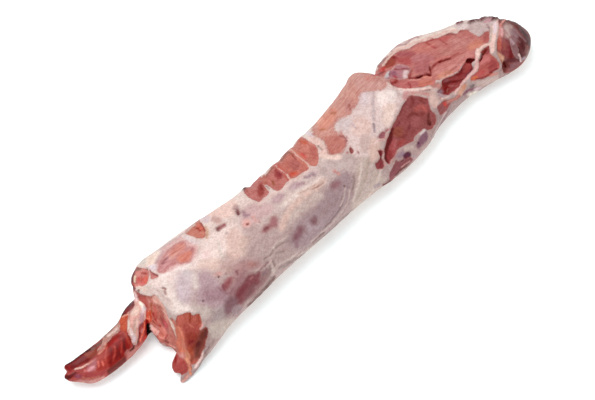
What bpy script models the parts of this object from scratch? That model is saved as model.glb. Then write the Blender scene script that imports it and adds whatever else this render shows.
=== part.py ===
"""Raw boneless pork loin, lying bone side up on its fat side.

One solid, in metres, +Z up. +X runs along the loin from the cut end with its tail
strip to the rounded chump end. The origin is the middle of the bounding box, on the
surface that the loin rests on.
"""

import math
from collections import namedtuple

import bmesh
import bpy
from mathutils import Vector

# Driving dimensions
LOIN_LENGTH = 0.693
MID_WIDTH = 0.120
MID_HEIGHT = 0.076
TAIL_LENGTH = 0.140

# Mesh fineness, of the skins that are fused and of the finished solid
RINGS_ALONG = 160
ROUND_RINGS = 14
RIM_RINGS = 5
TOP_STEPS = 26
UNDER_STEPS = 7
BASE_STEPS = 12
CUT_RINGS = 10
TAIL_RINGS = 40
TAIL_STEPS = 40
LUMP_SUBDIVISIONS = 4
SKIN_GRID = 0.0020
SKIN_SMOOTHING = 4
BASE_SNAP = 0.0014
MOST_TRIANGLES = 11200

# Where the loin starts and ends on the design axis
CUT_X = -0.36 * LOIN_LENGTH
TIP_X = CUT_X + LOIN_LENGTH

# One cross-section of the loin. Along is a share of the length from the cut face. Near and
# far are where the flanks reach, and crown where the top is, as shares of the middle width.
# Height is a share of the middle height, and the levels are how far up each flank is widest.
# A power of 2 rounds that shoulder like an ellipse, less makes it slope, and more boxes it.
Section = namedtuple(
    "Section",
    "along near far crown height near_level far_level near_power far_power",
)
SECTIONS = (
    Section(0.000, -0.60, 0.54, 0.03, 1.04, 0.10, 0.40, 1.65, 2.5),
    Section(0.035, -0.585, 0.645, 0.03, 1.08, 0.14, 0.42, 1.75, 2.4),
    Section(0.090, -0.52, 0.625, 0.03, 1.09, 0.24, 0.44, 1.9, 2.3),
    Section(0.180, -0.495, 0.585, 0.02, 1.05, 0.32, 0.45, 2.1, 2.3),
    Section(0.280, -0.475, 0.52, 0.00, 1.00, 0.35, 0.45, 2.2, 2.3),
    Section(0.370, -0.485, 0.505, -0.02, 1.00, 0.35, 0.45, 2.2, 2.3),
    Section(0.460, -0.48, 0.55, 0.02, 1.00, 0.35, 0.45, 2.2, 2.3),
    Section(0.560, -0.53, 0.60, 0.10, 1.00, 0.35, 0.45, 2.1, 2.4),
    Section(0.615, -0.52, 0.660, 0.18, 1.00, 0.34, 0.50, 2.0, 2.7),
    Section(0.642, -0.505, 0.695, 0.21, 0.98, 0.34, 0.50, 2.0, 2.8),
    Section(0.670, -0.465, 0.52, 0.20, 0.91, 0.34, 0.50, 2.0, 2.5),
    Section(0.702, -0.41, 0.625, 0.17, 0.87, 0.34, 0.50, 2.1, 2.4),
    Section(0.780, -0.370, 0.670, 0.10, 0.83, 0.34, 0.50, 2.2, 2.4),
    Section(0.860, -0.430, 0.49, 0.00, 0.80, 0.35, 0.45, 2.3, 2.3),
    Section(0.930, -0.52, 0.315, -0.12, 0.83, 0.40, 0.45, 2.3, 2.3),
    Section(1.000, -0.525, 0.04, -0.20, 0.72, 0.45, 0.45, 2.2, 2.2),
)
FLAT_SHARE = 0.62
ROUND_END = 0.054
ROUND_MIDDLE = Vector((0, -0.029, 0.027))

# The cut face: it leans, its foot and its two flanks reach out, and it is hollow beside
# the root of the tail
CUT_LEAN = 0.17
CUT_FAR_REACH = 0.10
CUT_NEAR_REACH = 0.20
CUT_NEAR_START = 0.015
CUT_BLEND = 0.06
CUT_DISH = 0.009
RIM_ROUND = 0.004
HOLLOW_MIDDLE = Vector((0, -0.002, 0.018))
HOLLOW_WIDTH = 0.012
HOLLOW_DEPTH = 0.013

# Relief is only on what stands above this level, and sets in over this height
RELIEF_LEVEL = 0.030
RELIEF_BLEND = 0.015
RELIEF_BASE = 0.004

# Muscle blocks along the far edge, where the ribs were lifted off
BLOCK_START = -0.034
BLOCK_PITCH = 0.0285
BLOCK_COUNT = 4
BLOCK_RISE = 0.0036
BLOCK_EDGE_Y = 0.034
BLOCK_EDGE_BLEND = 0.010
BLOCK_MEAN = 0.6

# The shallow valley between the eye of the loin and the strip of blocks
VALLEY_Y = 0.030
VALLEY_WIDTH = 0.009
VALLEY_DEPTH = 0.0035
VALLEY_START = -0.10
VALLEY_END = 0.075
VALLEY_BLEND = 0.035

# The cap of meat and fat over the chump, whose edge stands over a darker muscle
CAP_EDGE = (Vector((0.095, -0.040)), Vector((0.205, 0.014)))
CAP_STEP = 0.0065
CAP_SOFTNESS = 0.009
CAP_START = 0.085
CAP_START_BLEND = 0.05
CAP_END = 0.250
CAP_END_BLEND = 0.040

# The long oval face left where the hip bone was cut away: a tilted plane inside an oval
FACE_MIDDLE = Vector((0.307, 0.020))
FACE_HALF_SIZES = Vector((0.095, 0.044))
FACE_TURN = math.radians(-6)
FACE_POWER = 2.6
FACE_RIM = 0.20
FACE_LEVEL = 0.0550
FACE_TILT = 0.10

# The deep trough along the near side of the oval face
TROUGH = (Vector((0.258, -0.017)), Vector((0.332, -0.017)))
TROUGH_WIDTH = 0.0085
TROUGH_DEPTH = 0.012

# The waist between the oval face and the rounded end
WAIST_X = 0.381
WAIST_SLANT = 0.25
WAIST_WIDTH = 0.008
WAIST_DEPTH = 0.0045

# One cross-section of the tail strip, as an ellipse standing on the table. Along is a
# share of the tail's length from its root, side is the middle's Y, and sizes are metres.
TailSection = namedtuple("TailSection", "along side half_width height")
TAIL_SECTIONS = (
    TailSection(-0.15, 0.030, 0.0200, 0.046),
    TailSection(0.00, 0.029, 0.0190, 0.044),
    TailSection(0.15, 0.0235, 0.0205, 0.041),
    TailSection(0.38, 0.0195, 0.0230, 0.037),
    TailSection(0.65, 0.021, 0.0240, 0.034),
    TailSection(0.84, 0.0255, 0.0225, 0.030),
    TailSection(0.95, 0.0345, 0.0170, 0.025),
    TailSection(0.99, 0.0380, 0.0140, 0.022),
)
TAIL_OVERLAP = 0.004
TAIL_FLAT = 0.5
TAIL_END_SPREAD = 0.92
TAIL_TIP_ROUND = 0.045
TAIL_TIP_SHRINK = 0.50

# The tail's end: it slants away from the main muscle's point and is notched at the groove
TIP_START = 0.86
TIP_REACH = 0.0050
TIP_REACH_ANGLE = math.radians(72)
TIP_SLANT = 0.0115
TIP_NOTCH = 0.008
TIP_NOTCH_WIDTH = 0.30

# The groove between the tail's far strip and its main muscle
GROOVE_ANGLE = math.radians(118)
GROOVE_WIDTH = 0.28
GROOVE_DEPTH = 0.0055
GROOVE_START = 0.15
GROOVE_BLEND = 0.60

# Rounded muscle ends and flaps round the cut face: middle, half sizes and turn about Z
Lump = namedtuple("Lump", "name middle half_sizes turn")
LUMPS = (
    Lump("top_muscle_end", Vector((-0.2185, 0.0535, 0.050)), Vector((0.0295, 0.019, 0.022)), -6.0),
    Lump("root_membrane", Vector((-0.268, 0.025, 0.027)), Vector((0.033, 0.015, 0.022)), 42.0),
    Lump("root_flap", Vector((-0.2665, 0.041, 0.024)), Vector((0.025, 0.0095, 0.014)), 12.0),
    Lump("near_muscle_curl", Vector((-0.250, -0.009, 0.012)), Vector((0.016, 0.024, 0.015)), -4.0),
    Lump("lower_muscle_nub", Vector((-0.262, -0.050, 0.012)), Vector((0.022, 0.011, 0.012)), 25.0),
    Lump("flap_tip", Vector((-0.259, -0.066, 0.0030)), Vector((0.026, 0.0070, 0.0050)), 10.0),
)

MEAT_COLOUR = (0.62, 0.36, 0.33, 1.0)
MEAT_ROUGHNESS = 0.45


def clear_scene():
    for obj in list(bpy.data.objects):
        bpy.data.objects.remove(obj, do_unlink=True)


def smooth_step(value):
    """0 below 0, 1 above 1, and an S-curve between."""
    t = min(1.0, max(0.0, value))
    return t * t * (3 - 2 * t)


def bell(distance, width):
    return math.exp(-((distance / width) ** 2))


def table_at(rows, along):
    """The row of a table of sections at any share along, on a smooth curve through them."""
    last = len(rows) - 2
    i = max(0, min(last, sum(row.along <= along for row in rows) - 1))
    before, low, high, after = (rows[max(0, min(last + 1, i + k))] for k in (-1, 0, 1, 2))
    span = high.along - low.along
    t = (along - low.along) / span
    t2 = t * t
    t3 = t2 * t
    values = []
    for a, b, c, d in zip(before, low, high, after):
        start = (c - a) / (high.along - before.along) * span
        end = (d - b) / (after.along - low.along) * span
        at_ends = b * (2 * t3 - 3 * t2 + 1) + c * (3 * t2 - 2 * t3)
        values.append(at_ends + start * (t3 - 2 * t2 + t) + end * (t3 - t2))
    return type(rows[0])(*values)


def quarter(start, corner, end, power, steps):
    """Points on a superellipse quarter from start to end, without its last point."""
    middle = start + end - corner
    points = []
    for k in range(steps):
        turn = math.pi / 2 * k / steps
        across = math.cos(turn) ** (2 / power)
        upward = math.sin(turn) ** (2 / power)
        points.append(middle + (start - middle) * across + (end - middle) * upward)
    return points


def loin_profile(section):
    """The closed outline of one cross-section as (y, z), from the near flank over the top."""
    near = section.near * MID_WIDTH
    far = section.far * MID_WIDTH
    height = section.height * MID_HEIGHT
    base_middle = (near + far) / 2
    base_half = (far - near) / 2 * FLAT_SHARE
    near_flank = Vector((near, section.near_level * height))
    far_flank = Vector((far, section.far_level * height))
    top = Vector((section.crown * MID_WIDTH, height))
    near_base = Vector((base_middle - base_half, 0))
    far_base = Vector((base_middle + base_half, 0))
    outline = quarter(near_flank, Vector((near, height)), top, section.near_power, TOP_STEPS)
    outline += quarter(top, Vector((far, height)), far_flank, section.far_power, TOP_STEPS)
    outline += quarter(far_flank, Vector((far, 0)), far_base, 2.0, UNDER_STEPS)
    outline += [far_base.lerp(near_base, k / BASE_STEPS) for k in range(BASE_STEPS)]
    outline += quarter(near_base, Vector((near, 0)), near_flank, 2.0, UNDER_STEPS)
    return outline


def slant_of_cut(y, z):
    """How far a point of the cut face stands off a plane across the loin, along X."""
    far_reach = CUT_FAR_REACH * max(0.0, y)
    near_reach = CUT_NEAR_REACH * max(0.0, -y - CUT_NEAR_START)
    return far_reach - near_reach + CUT_LEAN * (z - MID_HEIGHT / 2)


def face_share(x, y):
    """How far out a plan point is in the oval face: 0 in its middle and 1 on its outline."""
    offset = Vector((x, y)) - FACE_MIDDLE
    along = Vector((math.cos(FACE_TURN), math.sin(FACE_TURN)))
    across = Vector((-along.y, along.x))
    a = abs(offset.dot(along)) / FACE_HALF_SIZES.x
    b = abs(offset.dot(across)) / FACE_HALF_SIZES.y
    return (a**FACE_POWER + b**FACE_POWER) ** (1 / FACE_POWER)


def cut_to_face(x, y, z):
    """The height of a point of the top after the oval face is cut flat."""
    over = z - (FACE_LEVEL + FACE_TILT * y)
    if over <= 0:
        return z
    return z - over * smooth_step((1 - face_share(x, y)) / FACE_RIM + 0.5)


def from_run(point, run):
    """How far a plan point is from a straight run: negative on the run's right side."""
    start, end = run
    along = end - start
    share = min(1.0, max(0.0, (point - start).dot(along) / along.length_squared))
    offset = point - (start + along * share)
    side = along.x * (point.y - start.y) - along.y * (point.x - start.x)
    return math.copysign(offset.length, side)


def block_lift(x, y):
    """The muscle blocks bulge along the far edge, with a groove between each two."""
    if not BLOCK_START < x < BLOCK_START + BLOCK_COUNT * BLOCK_PITCH:
        return 0.0
    bulge = math.sqrt(abs(math.sin(math.pi * (x - BLOCK_START) / BLOCK_PITCH)))
    return BLOCK_RISE * (bulge - BLOCK_MEAN) * smooth_step((y - BLOCK_EDGE_Y) / BLOCK_EDGE_BLEND)


def raised_forms(point):
    """How far the main forms lift or sink the upper surface of the loin at a point."""
    x, y, z = point
    plan = Vector((x, y))
    upper = smooth_step((z - RELIEF_LEVEL) / RELIEF_BLEND)
    valley_run = smooth_step((x - VALLEY_START) / VALLEY_BLEND)
    valley_run *= smooth_step((VALLEY_END - x) / VALLEY_BLEND + 1)
    valley = VALLEY_DEPTH * bell(y - VALLEY_Y, VALLEY_WIDTH) * valley_run
    cap_run = smooth_step((x - CAP_START) / CAP_START_BLEND)
    cap_run *= smooth_step((CAP_END - x) / CAP_END_BLEND)
    on_cap = smooth_step(from_run(plan, CAP_EDGE) / CAP_SOFTNESS / 2 + 0.5)
    cap = CAP_STEP * (on_cap - 0.5) * cap_run
    waist = WAIST_DEPTH * bell(x - WAIST_X - WAIST_SLANT * (y - ROUND_MIDDLE.y), WAIST_WIDTH)
    trough = TROUGH_DEPTH * bell(from_run(plan, TROUGH), TROUGH_WIDTH)
    return block_lift(x, y) + (cap - valley - waist - trough) * upper


def ring_positions():
    """Where the rings stand along the loin, closer together in the round end."""
    straight_start = CUT_X + RIM_ROUND
    straight_end = TIP_X - ROUND_END
    straight_rings = RINGS_ALONG - ROUND_RINGS - RIM_RINGS
    step = (straight_end - straight_start) / straight_rings
    rim_turns = [math.pi / 2 * k / RIM_RINGS for k in range(RIM_RINGS)]
    end_turns = [math.pi / 2 * k / ROUND_RINGS for k in range(ROUND_RINGS)]
    rim = [CUT_X + RIM_ROUND * (1 - math.cos(turn)) for turn in rim_turns]
    straight = [straight_start + step * k for k in range(straight_rings)]
    return rim + straight + [straight_end + ROUND_END * math.sin(turn) for turn in end_turns]


def loin_ring(x):
    """One ring of the loin. Past the start of the round end it shrinks on an ellipse."""
    section = table_at(SECTIONS, (x - CUT_X) / LOIN_LENGTH)
    into_end = max(0.0, (x - (TIP_X - ROUND_END)) / ROUND_END)
    shrink = math.sqrt(1 - into_end**2)
    to_cut = smooth_step(1 - (x - CUT_X) / CUT_BLEND)
    into_rim = max(0.0, 1 - (x - CUT_X) / RIM_ROUND)
    inset = RIM_ROUND * (1 - math.sqrt(1 - into_rim**2)) / (MID_WIDTH / 2)
    ring = []
    for y, z in loin_profile(section):
        y -= y * inset
        z -= (z - MID_HEIGHT / 2) * inset
        y = ROUND_MIDDLE.y + (y - ROUND_MIDDLE.y) * shrink
        z = cut_to_face(x, y, ROUND_MIDDLE.z + (z - ROUND_MIDDLE.z) * shrink)
        ring.append(Vector((x + slant_of_cut(y, z) * to_cut, y, z)))
    return ring


def add_ring(mesh, points):
    return [mesh.verts.new(point) for point in points]


def join_rings(mesh, first, second):
    count = len(first)
    for k in range(count):
        after = (k + 1) % count
        mesh.faces.new((first[k], first[after], second[after], second[k]))


def close_ring(mesh, ring, point):
    pole = mesh.verts.new(point)
    for k in range(len(ring)):
        mesh.faces.new((ring[k], ring[(k + 1) % len(ring)], pole))


def object_from(mesh, name, material):
    bmesh.ops.recalc_face_normals(mesh, faces=mesh.faces)
    data = bpy.data.meshes.new(name)
    mesh.to_mesh(data)
    mesh.free()
    data.materials.append(material)
    obj = bpy.data.objects.new(name, data)
    bpy.context.scene.collection.objects.link(obj)
    return obj


def cut_face_point(middle, rim_point, share):
    """A point of the dished cut face, at a share of the way from its middle to its rim."""
    point = middle.lerp(rim_point, share)
    from_hollow = (point - HOLLOW_MIDDLE).yz.length
    hollow = HOLLOW_DEPTH * bell(from_hollow, HOLLOW_WIDTH) * (1 - share**4)
    return point + Vector((CUT_DISH * (1 - share**2) + hollow, 0, 0))


def build_loin(material):
    """The body of the loin: a skin over its sections, closed by the cut face and the end."""
    mesh = bmesh.new()
    rings = [add_ring(mesh, loin_ring(x)) for x in ring_positions()]
    for first, second in zip(rings, rings[1:]):
        join_rings(mesh, first, second)
    close_ring(mesh, rings[-1], Vector((TIP_X, ROUND_MIDDLE.y, ROUND_MIDDLE.z)))
    rim = [vert.co.copy() for vert in rings[0]]
    middle = sum(rim, Vector()) / len(rim)
    outer = rings[0]
    for k in range(CUT_RINGS - 1, 0, -1):
        inner = add_ring(mesh, [cut_face_point(middle, point, k / CUT_RINGS) for point in rim])
        join_rings(mesh, inner, outer)
        outer = inner
    close_ring(mesh, outer[::-1], cut_face_point(middle, middle, 0))
    bmesh.ops.recalc_face_normals(mesh, faces=mesh.faces)
    mesh.normal_update()
    skin = [vert for ring in rings for vert in ring if vert.co.z > RELIEF_BASE]
    shifts = [vert.normal * raised_forms(vert.co) for vert in skin]
    for vert, shift in zip(skin, shifts):
        vert.co += shift
    return object_from(mesh, "pork_loin", material)


def tail_point(section, x, turn):
    """A point of the tail's outline. The far strip is set off by a groove along the top."""
    groove = bell(turn - GROOVE_ANGLE, GROOVE_WIDTH)
    depth = GROOVE_DEPTH * groove * smooth_step((section.along - GROOVE_START) / GROOVE_BLEND)
    half_height = section.height / 2
    y = section.side - (section.half_width - depth) * math.cos(turn)
    z = half_height + (half_height - depth) * math.sin(turn)
    floor = half_height * (1 - math.sqrt(1 - TAIL_FLAT**2))
    return Vector((x, y, max(0.0, (z - floor) * section.height / (section.height - floor))))


def cut_of_tip(turn):
    """How far the tail's end stands back. It slants away from its point, with a notch at the groove."""
    notch = TIP_NOTCH * bell(turn - GROOVE_ANGLE, TIP_NOTCH_WIDTH)
    return notch + TIP_SLANT * (1 - math.cos(turn - TIP_REACH_ANGLE)) - TIP_REACH


def build_tail(material):
    """The strip of loose muscle that trails out of the cut face."""
    mesh = bmesh.new()
    turns = [math.tau * k / TAIL_STEPS for k in range(TAIL_STEPS)]
    start = TAIL_SECTIONS[0].along
    end = TAIL_SECTIONS[-1].along
    quarter_turn = math.pi / 2 * TAIL_END_SPREAD
    rings = []
    for k in range(TAIL_RINGS):
        spread = math.sin(quarter_turn * k / (TAIL_RINGS - 1)) / math.sin(quarter_turn)
        along = start + (end - start) * spread
        to_tip = max(0.0, (along - (1 - TAIL_TIP_ROUND)) / TAIL_TIP_ROUND)
        shrink = math.sqrt(max(0.0, 1 - TAIL_TIP_SHRINK * to_tip**2))
        section = table_at(TAIL_SECTIONS, along)
        section = section._replace(
            half_width=section.half_width * shrink, height=section.height * shrink
        )
        x = CUT_X + TAIL_OVERLAP - along * TAIL_LENGTH
        cut = max(0.0, (along - TIP_START) / (end - TIP_START))
        points = [tail_point(section, x + cut * cut_of_tip(turn), turn) for turn in turns]
        rings.append(add_ring(mesh, points))
    for first, second in zip(rings, rings[1:]):
        join_rings(mesh, first, second)
    for ring in (rings[0], rings[-1]):
        close_ring(mesh, ring, sum((vert.co for vert in ring), Vector()) / len(ring))
    return object_from(mesh, "tail_strip", material)


def build_lump(lump, material):
    """A rounded end of muscle or flap, as a ball of its own half sizes, cut off by the table."""
    mesh = bmesh.new()
    bmesh.ops.create_icosphere(mesh, subdivisions=LUMP_SUBDIVISIONS, radius=1.0)
    turn = math.radians(lump.turn)
    along = Vector((math.cos(turn), math.sin(turn), 0))
    across = Vector((-along.y, along.x, 0))
    for vert in mesh.verts:
        x, y, z = (a * b for a, b in zip(vert.co, lump.half_sizes))
        vert.co = lump.middle + along * x + across * y
        vert.co.z = max(0.0, lump.middle.z + z)
    return object_from(mesh, lump.name, material)


def keep_result(obj):
    """Makes what the object's modifiers give its own mesh, and removes them."""
    graph = bpy.context.evaluated_depsgraph_get()
    result = bpy.data.meshes.new_from_object(obj.evaluated_get(graph))
    obj.modifiers.clear()
    obj.data = result


def fuse(body, others):
    """One Boolean union of the body and the collection of the others, which are then removed."""
    group = bpy.data.collections.new("fused_forms")
    bpy.context.scene.collection.children.link(group)
    for other in others:
        bpy.context.scene.collection.objects.unlink(other)
        group.objects.link(other)
    union = body.modifiers.new("fuse", "BOOLEAN")
    union.operation = "UNION"
    union.operand_type = "COLLECTION"
    union.collection = group
    union.solver = "EXACT"
    keep_result(body)
    for other in others:
        bpy.data.objects.remove(other, do_unlink=True)
    bpy.data.collections.remove(group)


def soften(body):
    """Gives the fused forms one even skin, so that they run into each other like flesh."""
    skin = body.modifiers.new("skin", "REMESH")
    skin.mode = "VOXEL"
    skin.voxel_size = SKIN_GRID
    smooth = body.modifiers.new("smooth", "SMOOTH")
    smooth.factor = 0.5
    smooth.iterations = SKIN_SMOOTHING
    keep_result(body)


def flatten_base(body):
    for vert in body.data.vertices:
        if vert.co.z < BASE_SNAP:
            vert.co.z = 0.0


def thin_out(body):
    """Leaves few triangles where the skin is flat, and more where it bends."""
    count = sum(len(face.vertices) - 2 for face in body.data.polygons)
    thin = body.modifiers.new("thin", "DECIMATE")
    thin.ratio = MOST_TRIANGLES / count
    thin.use_collapse_triangulate = True
    keep_result(body)


def set_on_origin(obj):
    """Puts the middle of the bounding box over the origin, with the underside at Z 0."""
    points = [vert.co for vert in obj.data.vertices]
    low = Vector(min(point[k] for point in points) for k in range(3))
    high = Vector(max(point[k] for point in points) for k in range(3))
    middle = (low + high) / 2
    for vert in obj.data.vertices:
        vert.co -= Vector((middle.x, middle.y, low.z))


def meat_material():
    material = bpy.data.materials.new("raw_pork")
    material.use_nodes = True
    shader = material.node_tree.nodes["Principled BSDF"]
    shader.inputs["Base Color"].default_value = MEAT_COLOUR
    shader.inputs["Roughness"].default_value = MEAT_ROUGHNESS
    shader.inputs["Metallic"].default_value = 0.0
    return material


def main():
    clear_scene()
    material = meat_material()
    loin = build_loin(material)
    fuse(loin, [build_tail(material)] + [build_lump(lump, material) for lump in LUMPS])
    soften(loin)
    flatten_base(loin)
    thin_out(loin)
    flatten_base(loin)
    set_on_origin(loin)
    loin.data.shade_smooth()


main()
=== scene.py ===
import math
from collections import namedtuple

import bpy
import numpy as np
from mathutils import Matrix, Vector, bvhtree, kdtree, noise


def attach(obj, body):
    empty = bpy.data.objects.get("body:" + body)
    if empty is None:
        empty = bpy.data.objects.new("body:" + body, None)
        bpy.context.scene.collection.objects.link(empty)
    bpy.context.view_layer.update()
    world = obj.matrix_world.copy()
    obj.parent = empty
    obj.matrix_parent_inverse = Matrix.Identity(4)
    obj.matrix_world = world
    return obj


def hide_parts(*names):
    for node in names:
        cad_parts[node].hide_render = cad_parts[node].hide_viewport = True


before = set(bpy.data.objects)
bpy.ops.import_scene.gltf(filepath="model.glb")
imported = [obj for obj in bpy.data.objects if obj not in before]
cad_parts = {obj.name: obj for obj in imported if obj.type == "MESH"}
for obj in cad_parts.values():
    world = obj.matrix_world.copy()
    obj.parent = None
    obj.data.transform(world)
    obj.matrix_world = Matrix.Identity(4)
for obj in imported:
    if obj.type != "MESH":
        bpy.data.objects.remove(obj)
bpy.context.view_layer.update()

MM = 0.001

# The photograph's camera, in the part's own metres and in the photograph's pixels.
PHOTO_WIDTH = 595
PHOTO_HEIGHT = 400
LENS_MM = 85.0
SENSOR_MM = 36.0
VIEW_TURN = math.radians(-45.1)
VIEW_RISE = math.radians(60.0)
VIEW_AIM = Vector((-0.02756, -0.00632, 0.04))
PIXELS_TO_FOCUS = LENS_MM / SENSOR_MM * PHOTO_WIDTH
METRES_PER_PIXEL = 0.00135
VIEW_DISTANCE = PIXELS_TO_FOCUS * METRES_PER_PIXEL

# Backwards, right and up of that camera, and its place.
BACK = Vector((math.sin(VIEW_TURN) * math.cos(VIEW_RISE), -math.cos(VIEW_TURN) * math.cos(VIEW_RISE),
               math.sin(VIEW_RISE)))
RIGHT = Vector((math.cos(VIEW_TURN), math.sin(VIEW_TURN), 0.0))
UP = BACK.cross(RIGHT)
EYE = VIEW_AIM + VIEW_DISTANCE * BACK

# The skin's mesh, even at first, then thinned on the base and where the photograph doesn't show it.
SKIN_GRID = 1.5 * MM
WELD = 0.02 * MM
SOFTENING = 0.5
SOFTENING_ROUNDS = 9
BASE_LEVEL = 1.0 * MM
BASE_FACING = -0.99
BASE_SHARE = 0.12
HIDDEN_SHARE = 0.3
HIDDEN_MARGIN_ROUNDS = 8
LEAST_SEEN = 0.001
NEIGHBOUR_PULL = 0.5

# How squarely skin faces the camera where it starts to show and where it shows fully, how far from the skin
# a line of sight starts, and how well skin has to show to pass on its paint.
GRAZING = (0.02, 0.14)
SIGHT_LIFT = 1.2 * MM
SIGHT_START = 1.5 * MM
WELL_SEEN = 0.5

# How soft a mark's edge is, in the photograph's pixels, or on a stroke and a tag as a share of its width.
SHARP_BLUR = 0.9
LEAST_BLUR = 0.7
STROKE_BLUR = 0.42
TAG_BLUR = 0.45

# How far outside its outline a mark still works, in pixels, and into how many steps an outline is rounded.
REACH = 9.0
OUTLINE_STEPS = 5
NO_LENGTH = 1e-9

# How far the hand strays along an outline, per pixel of its softness, in long and short waves.
WANDER = 0.7
MOST_STRAY = 1.3
LONG_WAVE = 11 * MM
SHORT_WAVE = 4 * MM
SHORT_WAVE_SHARE = 0.6

# How strokes thin out in patches.
PATCH = 5 * MM
PATCH_MEAN = 0.95
PATCH_SWING = 0.6
THINNEST = 0.4

# How the muscle's fibres run, in degrees above the photograph's right, and how far they are drawn out.
NO_GRAIN = None
LOIN_GRAIN = 45.0
GRAIN_PULL = 0.86

# Relief, in millimetres, and how it changes across a muscle's edge, in pixels.
LEAN_SINK = 1.3
EDGE_SLOPE = 1.6
FAT_LIP = 0.5
LIP_PLACE = -0.8
LIP_WIDTH = 1.8
MARK_RISE = {"cut": -2.0, "groove": -0.5, "fold": 0.6, "tag": 2.6}
FAT_LUMPS = 0.6
LEAN_EVENNESS = 0.6
LUMP = 15 * MM
SMALL_LUMP = 6 * MM
SMALL_LUMP_SHARE = 0.5
FIBRE_RIDGES = 0.3
RIDGE = 4.5 * MM
RIDGE_STRETCH = (0.22, 1.0, 1.0)
RELIEF_ROUNDS = 2
FLAT_BASE = (0.5 * MM, 5 * MM)

# The studio's light on the skin, as shares of full white: from all round, and by how the skin faces.
LIGHT_LEVEL = 1.30
LIGHT_TILT = Vector((-0.02, 0.31, 0.16))
LEAST_LIGHT = 0.85
ROOM_RAYS = 28
ROOM_REACH = 0.3
ROOM_START = 2.0 * MM
ROOM_GRAZING = 0.12
ROOM_ROUNDS = 5
FLESH_BOUNCE = (0.45, 0.24, 0.22)
SHEEN = 0.016
DARKEST = 0.004
BRIGHTEST = 0.92

# The unseen sides: how far the paint runs on round the horizon, and the bands of muscle beyond it.
CARRIED = (3 * MM, 15 * MM)
SOFT_HORIZON = 4 * MM
CARRY_ROUNDS = 10
BAND = 34 * MM
BAND_STRETCH = (0.5, 1, 1.2)
BAND_SWING = 7.0
BLOTCH = 16 * MM
BLOTCH_SWING = 3.0
BAND_LEVELS = (22 * MM, 52 * MM)
BAND_RISE = 5.0
BAND_DROP = 4.5
CAP_TONES = (-0.5, 0.7)
BAND_TONES = (-0.6, 0.6)

# The finish's patterns: size, detail and roughness.
FIBRE = (1.3 * MM, 3.0, 0.6)
STRAND = (3.6 * MM, 2.0, 0.5)
MOTTLE = (7.0 * MM, 3.0, 0.6)
GRANULE = (1.6 * MM, 2.0, 0.6)
SPECK = (2.4 * MM, 3.0, 0.7)
WISP = (3.0 * MM, 4.0, 0.65)
CROSS_WISP = (3.4 * MM, 3.0, 0.6)
SHEET = (6.0 * MM, 2.0, 0.5)

# How the silverskin's own fibres run, about Z, and how far they are drawn out.
SKIN_RUN = math.radians(24)
SKIN_STRETCH = (4.0, 1.0, 1.0)
CROSS_RUN = math.radians(-38)
CROSS_STRETCH = (3.0, 1.0, 1.0)

# Where each pattern passes from none to all, and how ragged the muscle's edge is, in pixels.
MUSCLE_EDGE = (-0.55, 0.55)
RAGGEDNESS = 4.5
LEAN_TONES = (0.37, 0.63)
COVER_TONES = (0.41, 0.59)
THREAD_EDGE = (0.022, 0.0)
THREAD_PATCHES = (0.44, 0.6)
# Where the painted shade along the muscle's sunken border comes in, in pixels inside it.
LEAN_EDGE_SHADE = (1.8, 0.0)
COVER_BORDER = (-2.4, -0.4)

# What the patterns do to the painted colours, as factors on red, green and blue.
# The deep muscle factor darkens the deep fibres and also makes the painted shade along the muscle's border.
DEEP_LEAN_AND_EDGE_SHADE = (0.81, 0.67, 0.67, 1.0)
PALE_LEAN = (1.17, 1.36, 1.36, 1.0)
ROSY_FAT = (0.84, 0.775, 0.77, 1.0)
PALE_FAT = (1.1, 1.085, 1.095, 1.0)
WHITE_THREAD = (1.15, 1.25, 1.27, 1.0)

# The stage: a wide floor, white all round, and one soft light beyond the loin.
FLOOR_SIZE = 12.0
FLOOR_DROP = 0.2 * MM
FLOOR_SPECKLE = 40 * MM
FLOOR_WHITE = (239, 247, 248)
FLOOR_BRIGHT_WHITE = (242, 250, 251)
FLOOR_GLOW = (248, 252, 254)
FLOOR_GLOW_STRENGTH = 0.14
STUDIO_WHITE = (1.0, 1.0, 1.0, 1.0)
STUDIO_STRENGTH = 0.85
KEY_PLACE = (-0.45, 0.72, 2.0)
KEY_SIZE = 1.7
KEY_POWER = 37.5

# Finishes, as red, green and blue from 0 to 255.
SILVERSKIN = (240, 220, 211)
# The near side's greyer silverskin, darkened with painted shade where that side turns from the light, and the
# span across the loin, in y, over which it comes in.
NEAR_SKIN_AND_SHADE = (186, 162, 158)
NEAR_GREY_AND_SHADE_SPAN = (45 * MM, -60 * MM)
CREAM = (252, 230, 218)
PEACH = (233, 199, 184)
ROSE_LEAN = (216, 146, 136)
BLOCK_LEAN = (190, 98, 88)
CUT_LEAN = (184, 95, 86)

Mark = namedtuple("Mark", "name kind finish blur points width grain", defaults=(0.0, NO_GRAIN))


def cover(name, finish, blur, *points):
    """A soft area of colour in the fat and silverskin."""
    return Mark(name, "cover", finish, blur, points)


def lean(name, finish, grain, *points, blur=SHARP_BLUR):
    """Muscle laid bare: it opens the cover. Its fibres run that many degrees above the photograph's right."""
    return Mark(name, "lean", finish, blur, points, grain=grain)


def tint(name, finish, blur, *points):
    """A soft area of colour in muscle that is already bare."""
    return Mark(name, "tint", finish, blur, points)


def fat(name, finish, *points):
    """Fat or sinew over bare muscle."""
    return Mark(name, "fat", finish, SHARP_BLUR, points)


def cut(name, finish, *points):
    """A hole."""
    return Mark(name, "cut", finish, SHARP_BLUR, points)


def tag(name, finish, width, *points):
    """A ragged bit of muscle that stands up from the skin."""
    return Mark(name, "tag", finish, TAG_BLUR * width, points, width)


def stroke(name, kind, finish, width, *points):
    """A line of one of the kinds above, or a dot where it has one point."""
    return Mark(name, kind, finish, max(LEAST_BLUR, STROKE_BLUR * width), points, width)


def streak(name, finish, width, *points):
    """A line of colour in bare muscle."""
    return stroke(name, "tint", finish, width, *points)


def smear(name, finish, width, *points):
    """A line of colour in the fat and silverskin."""
    return stroke(name, "cover", finish, width, *points)


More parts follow.
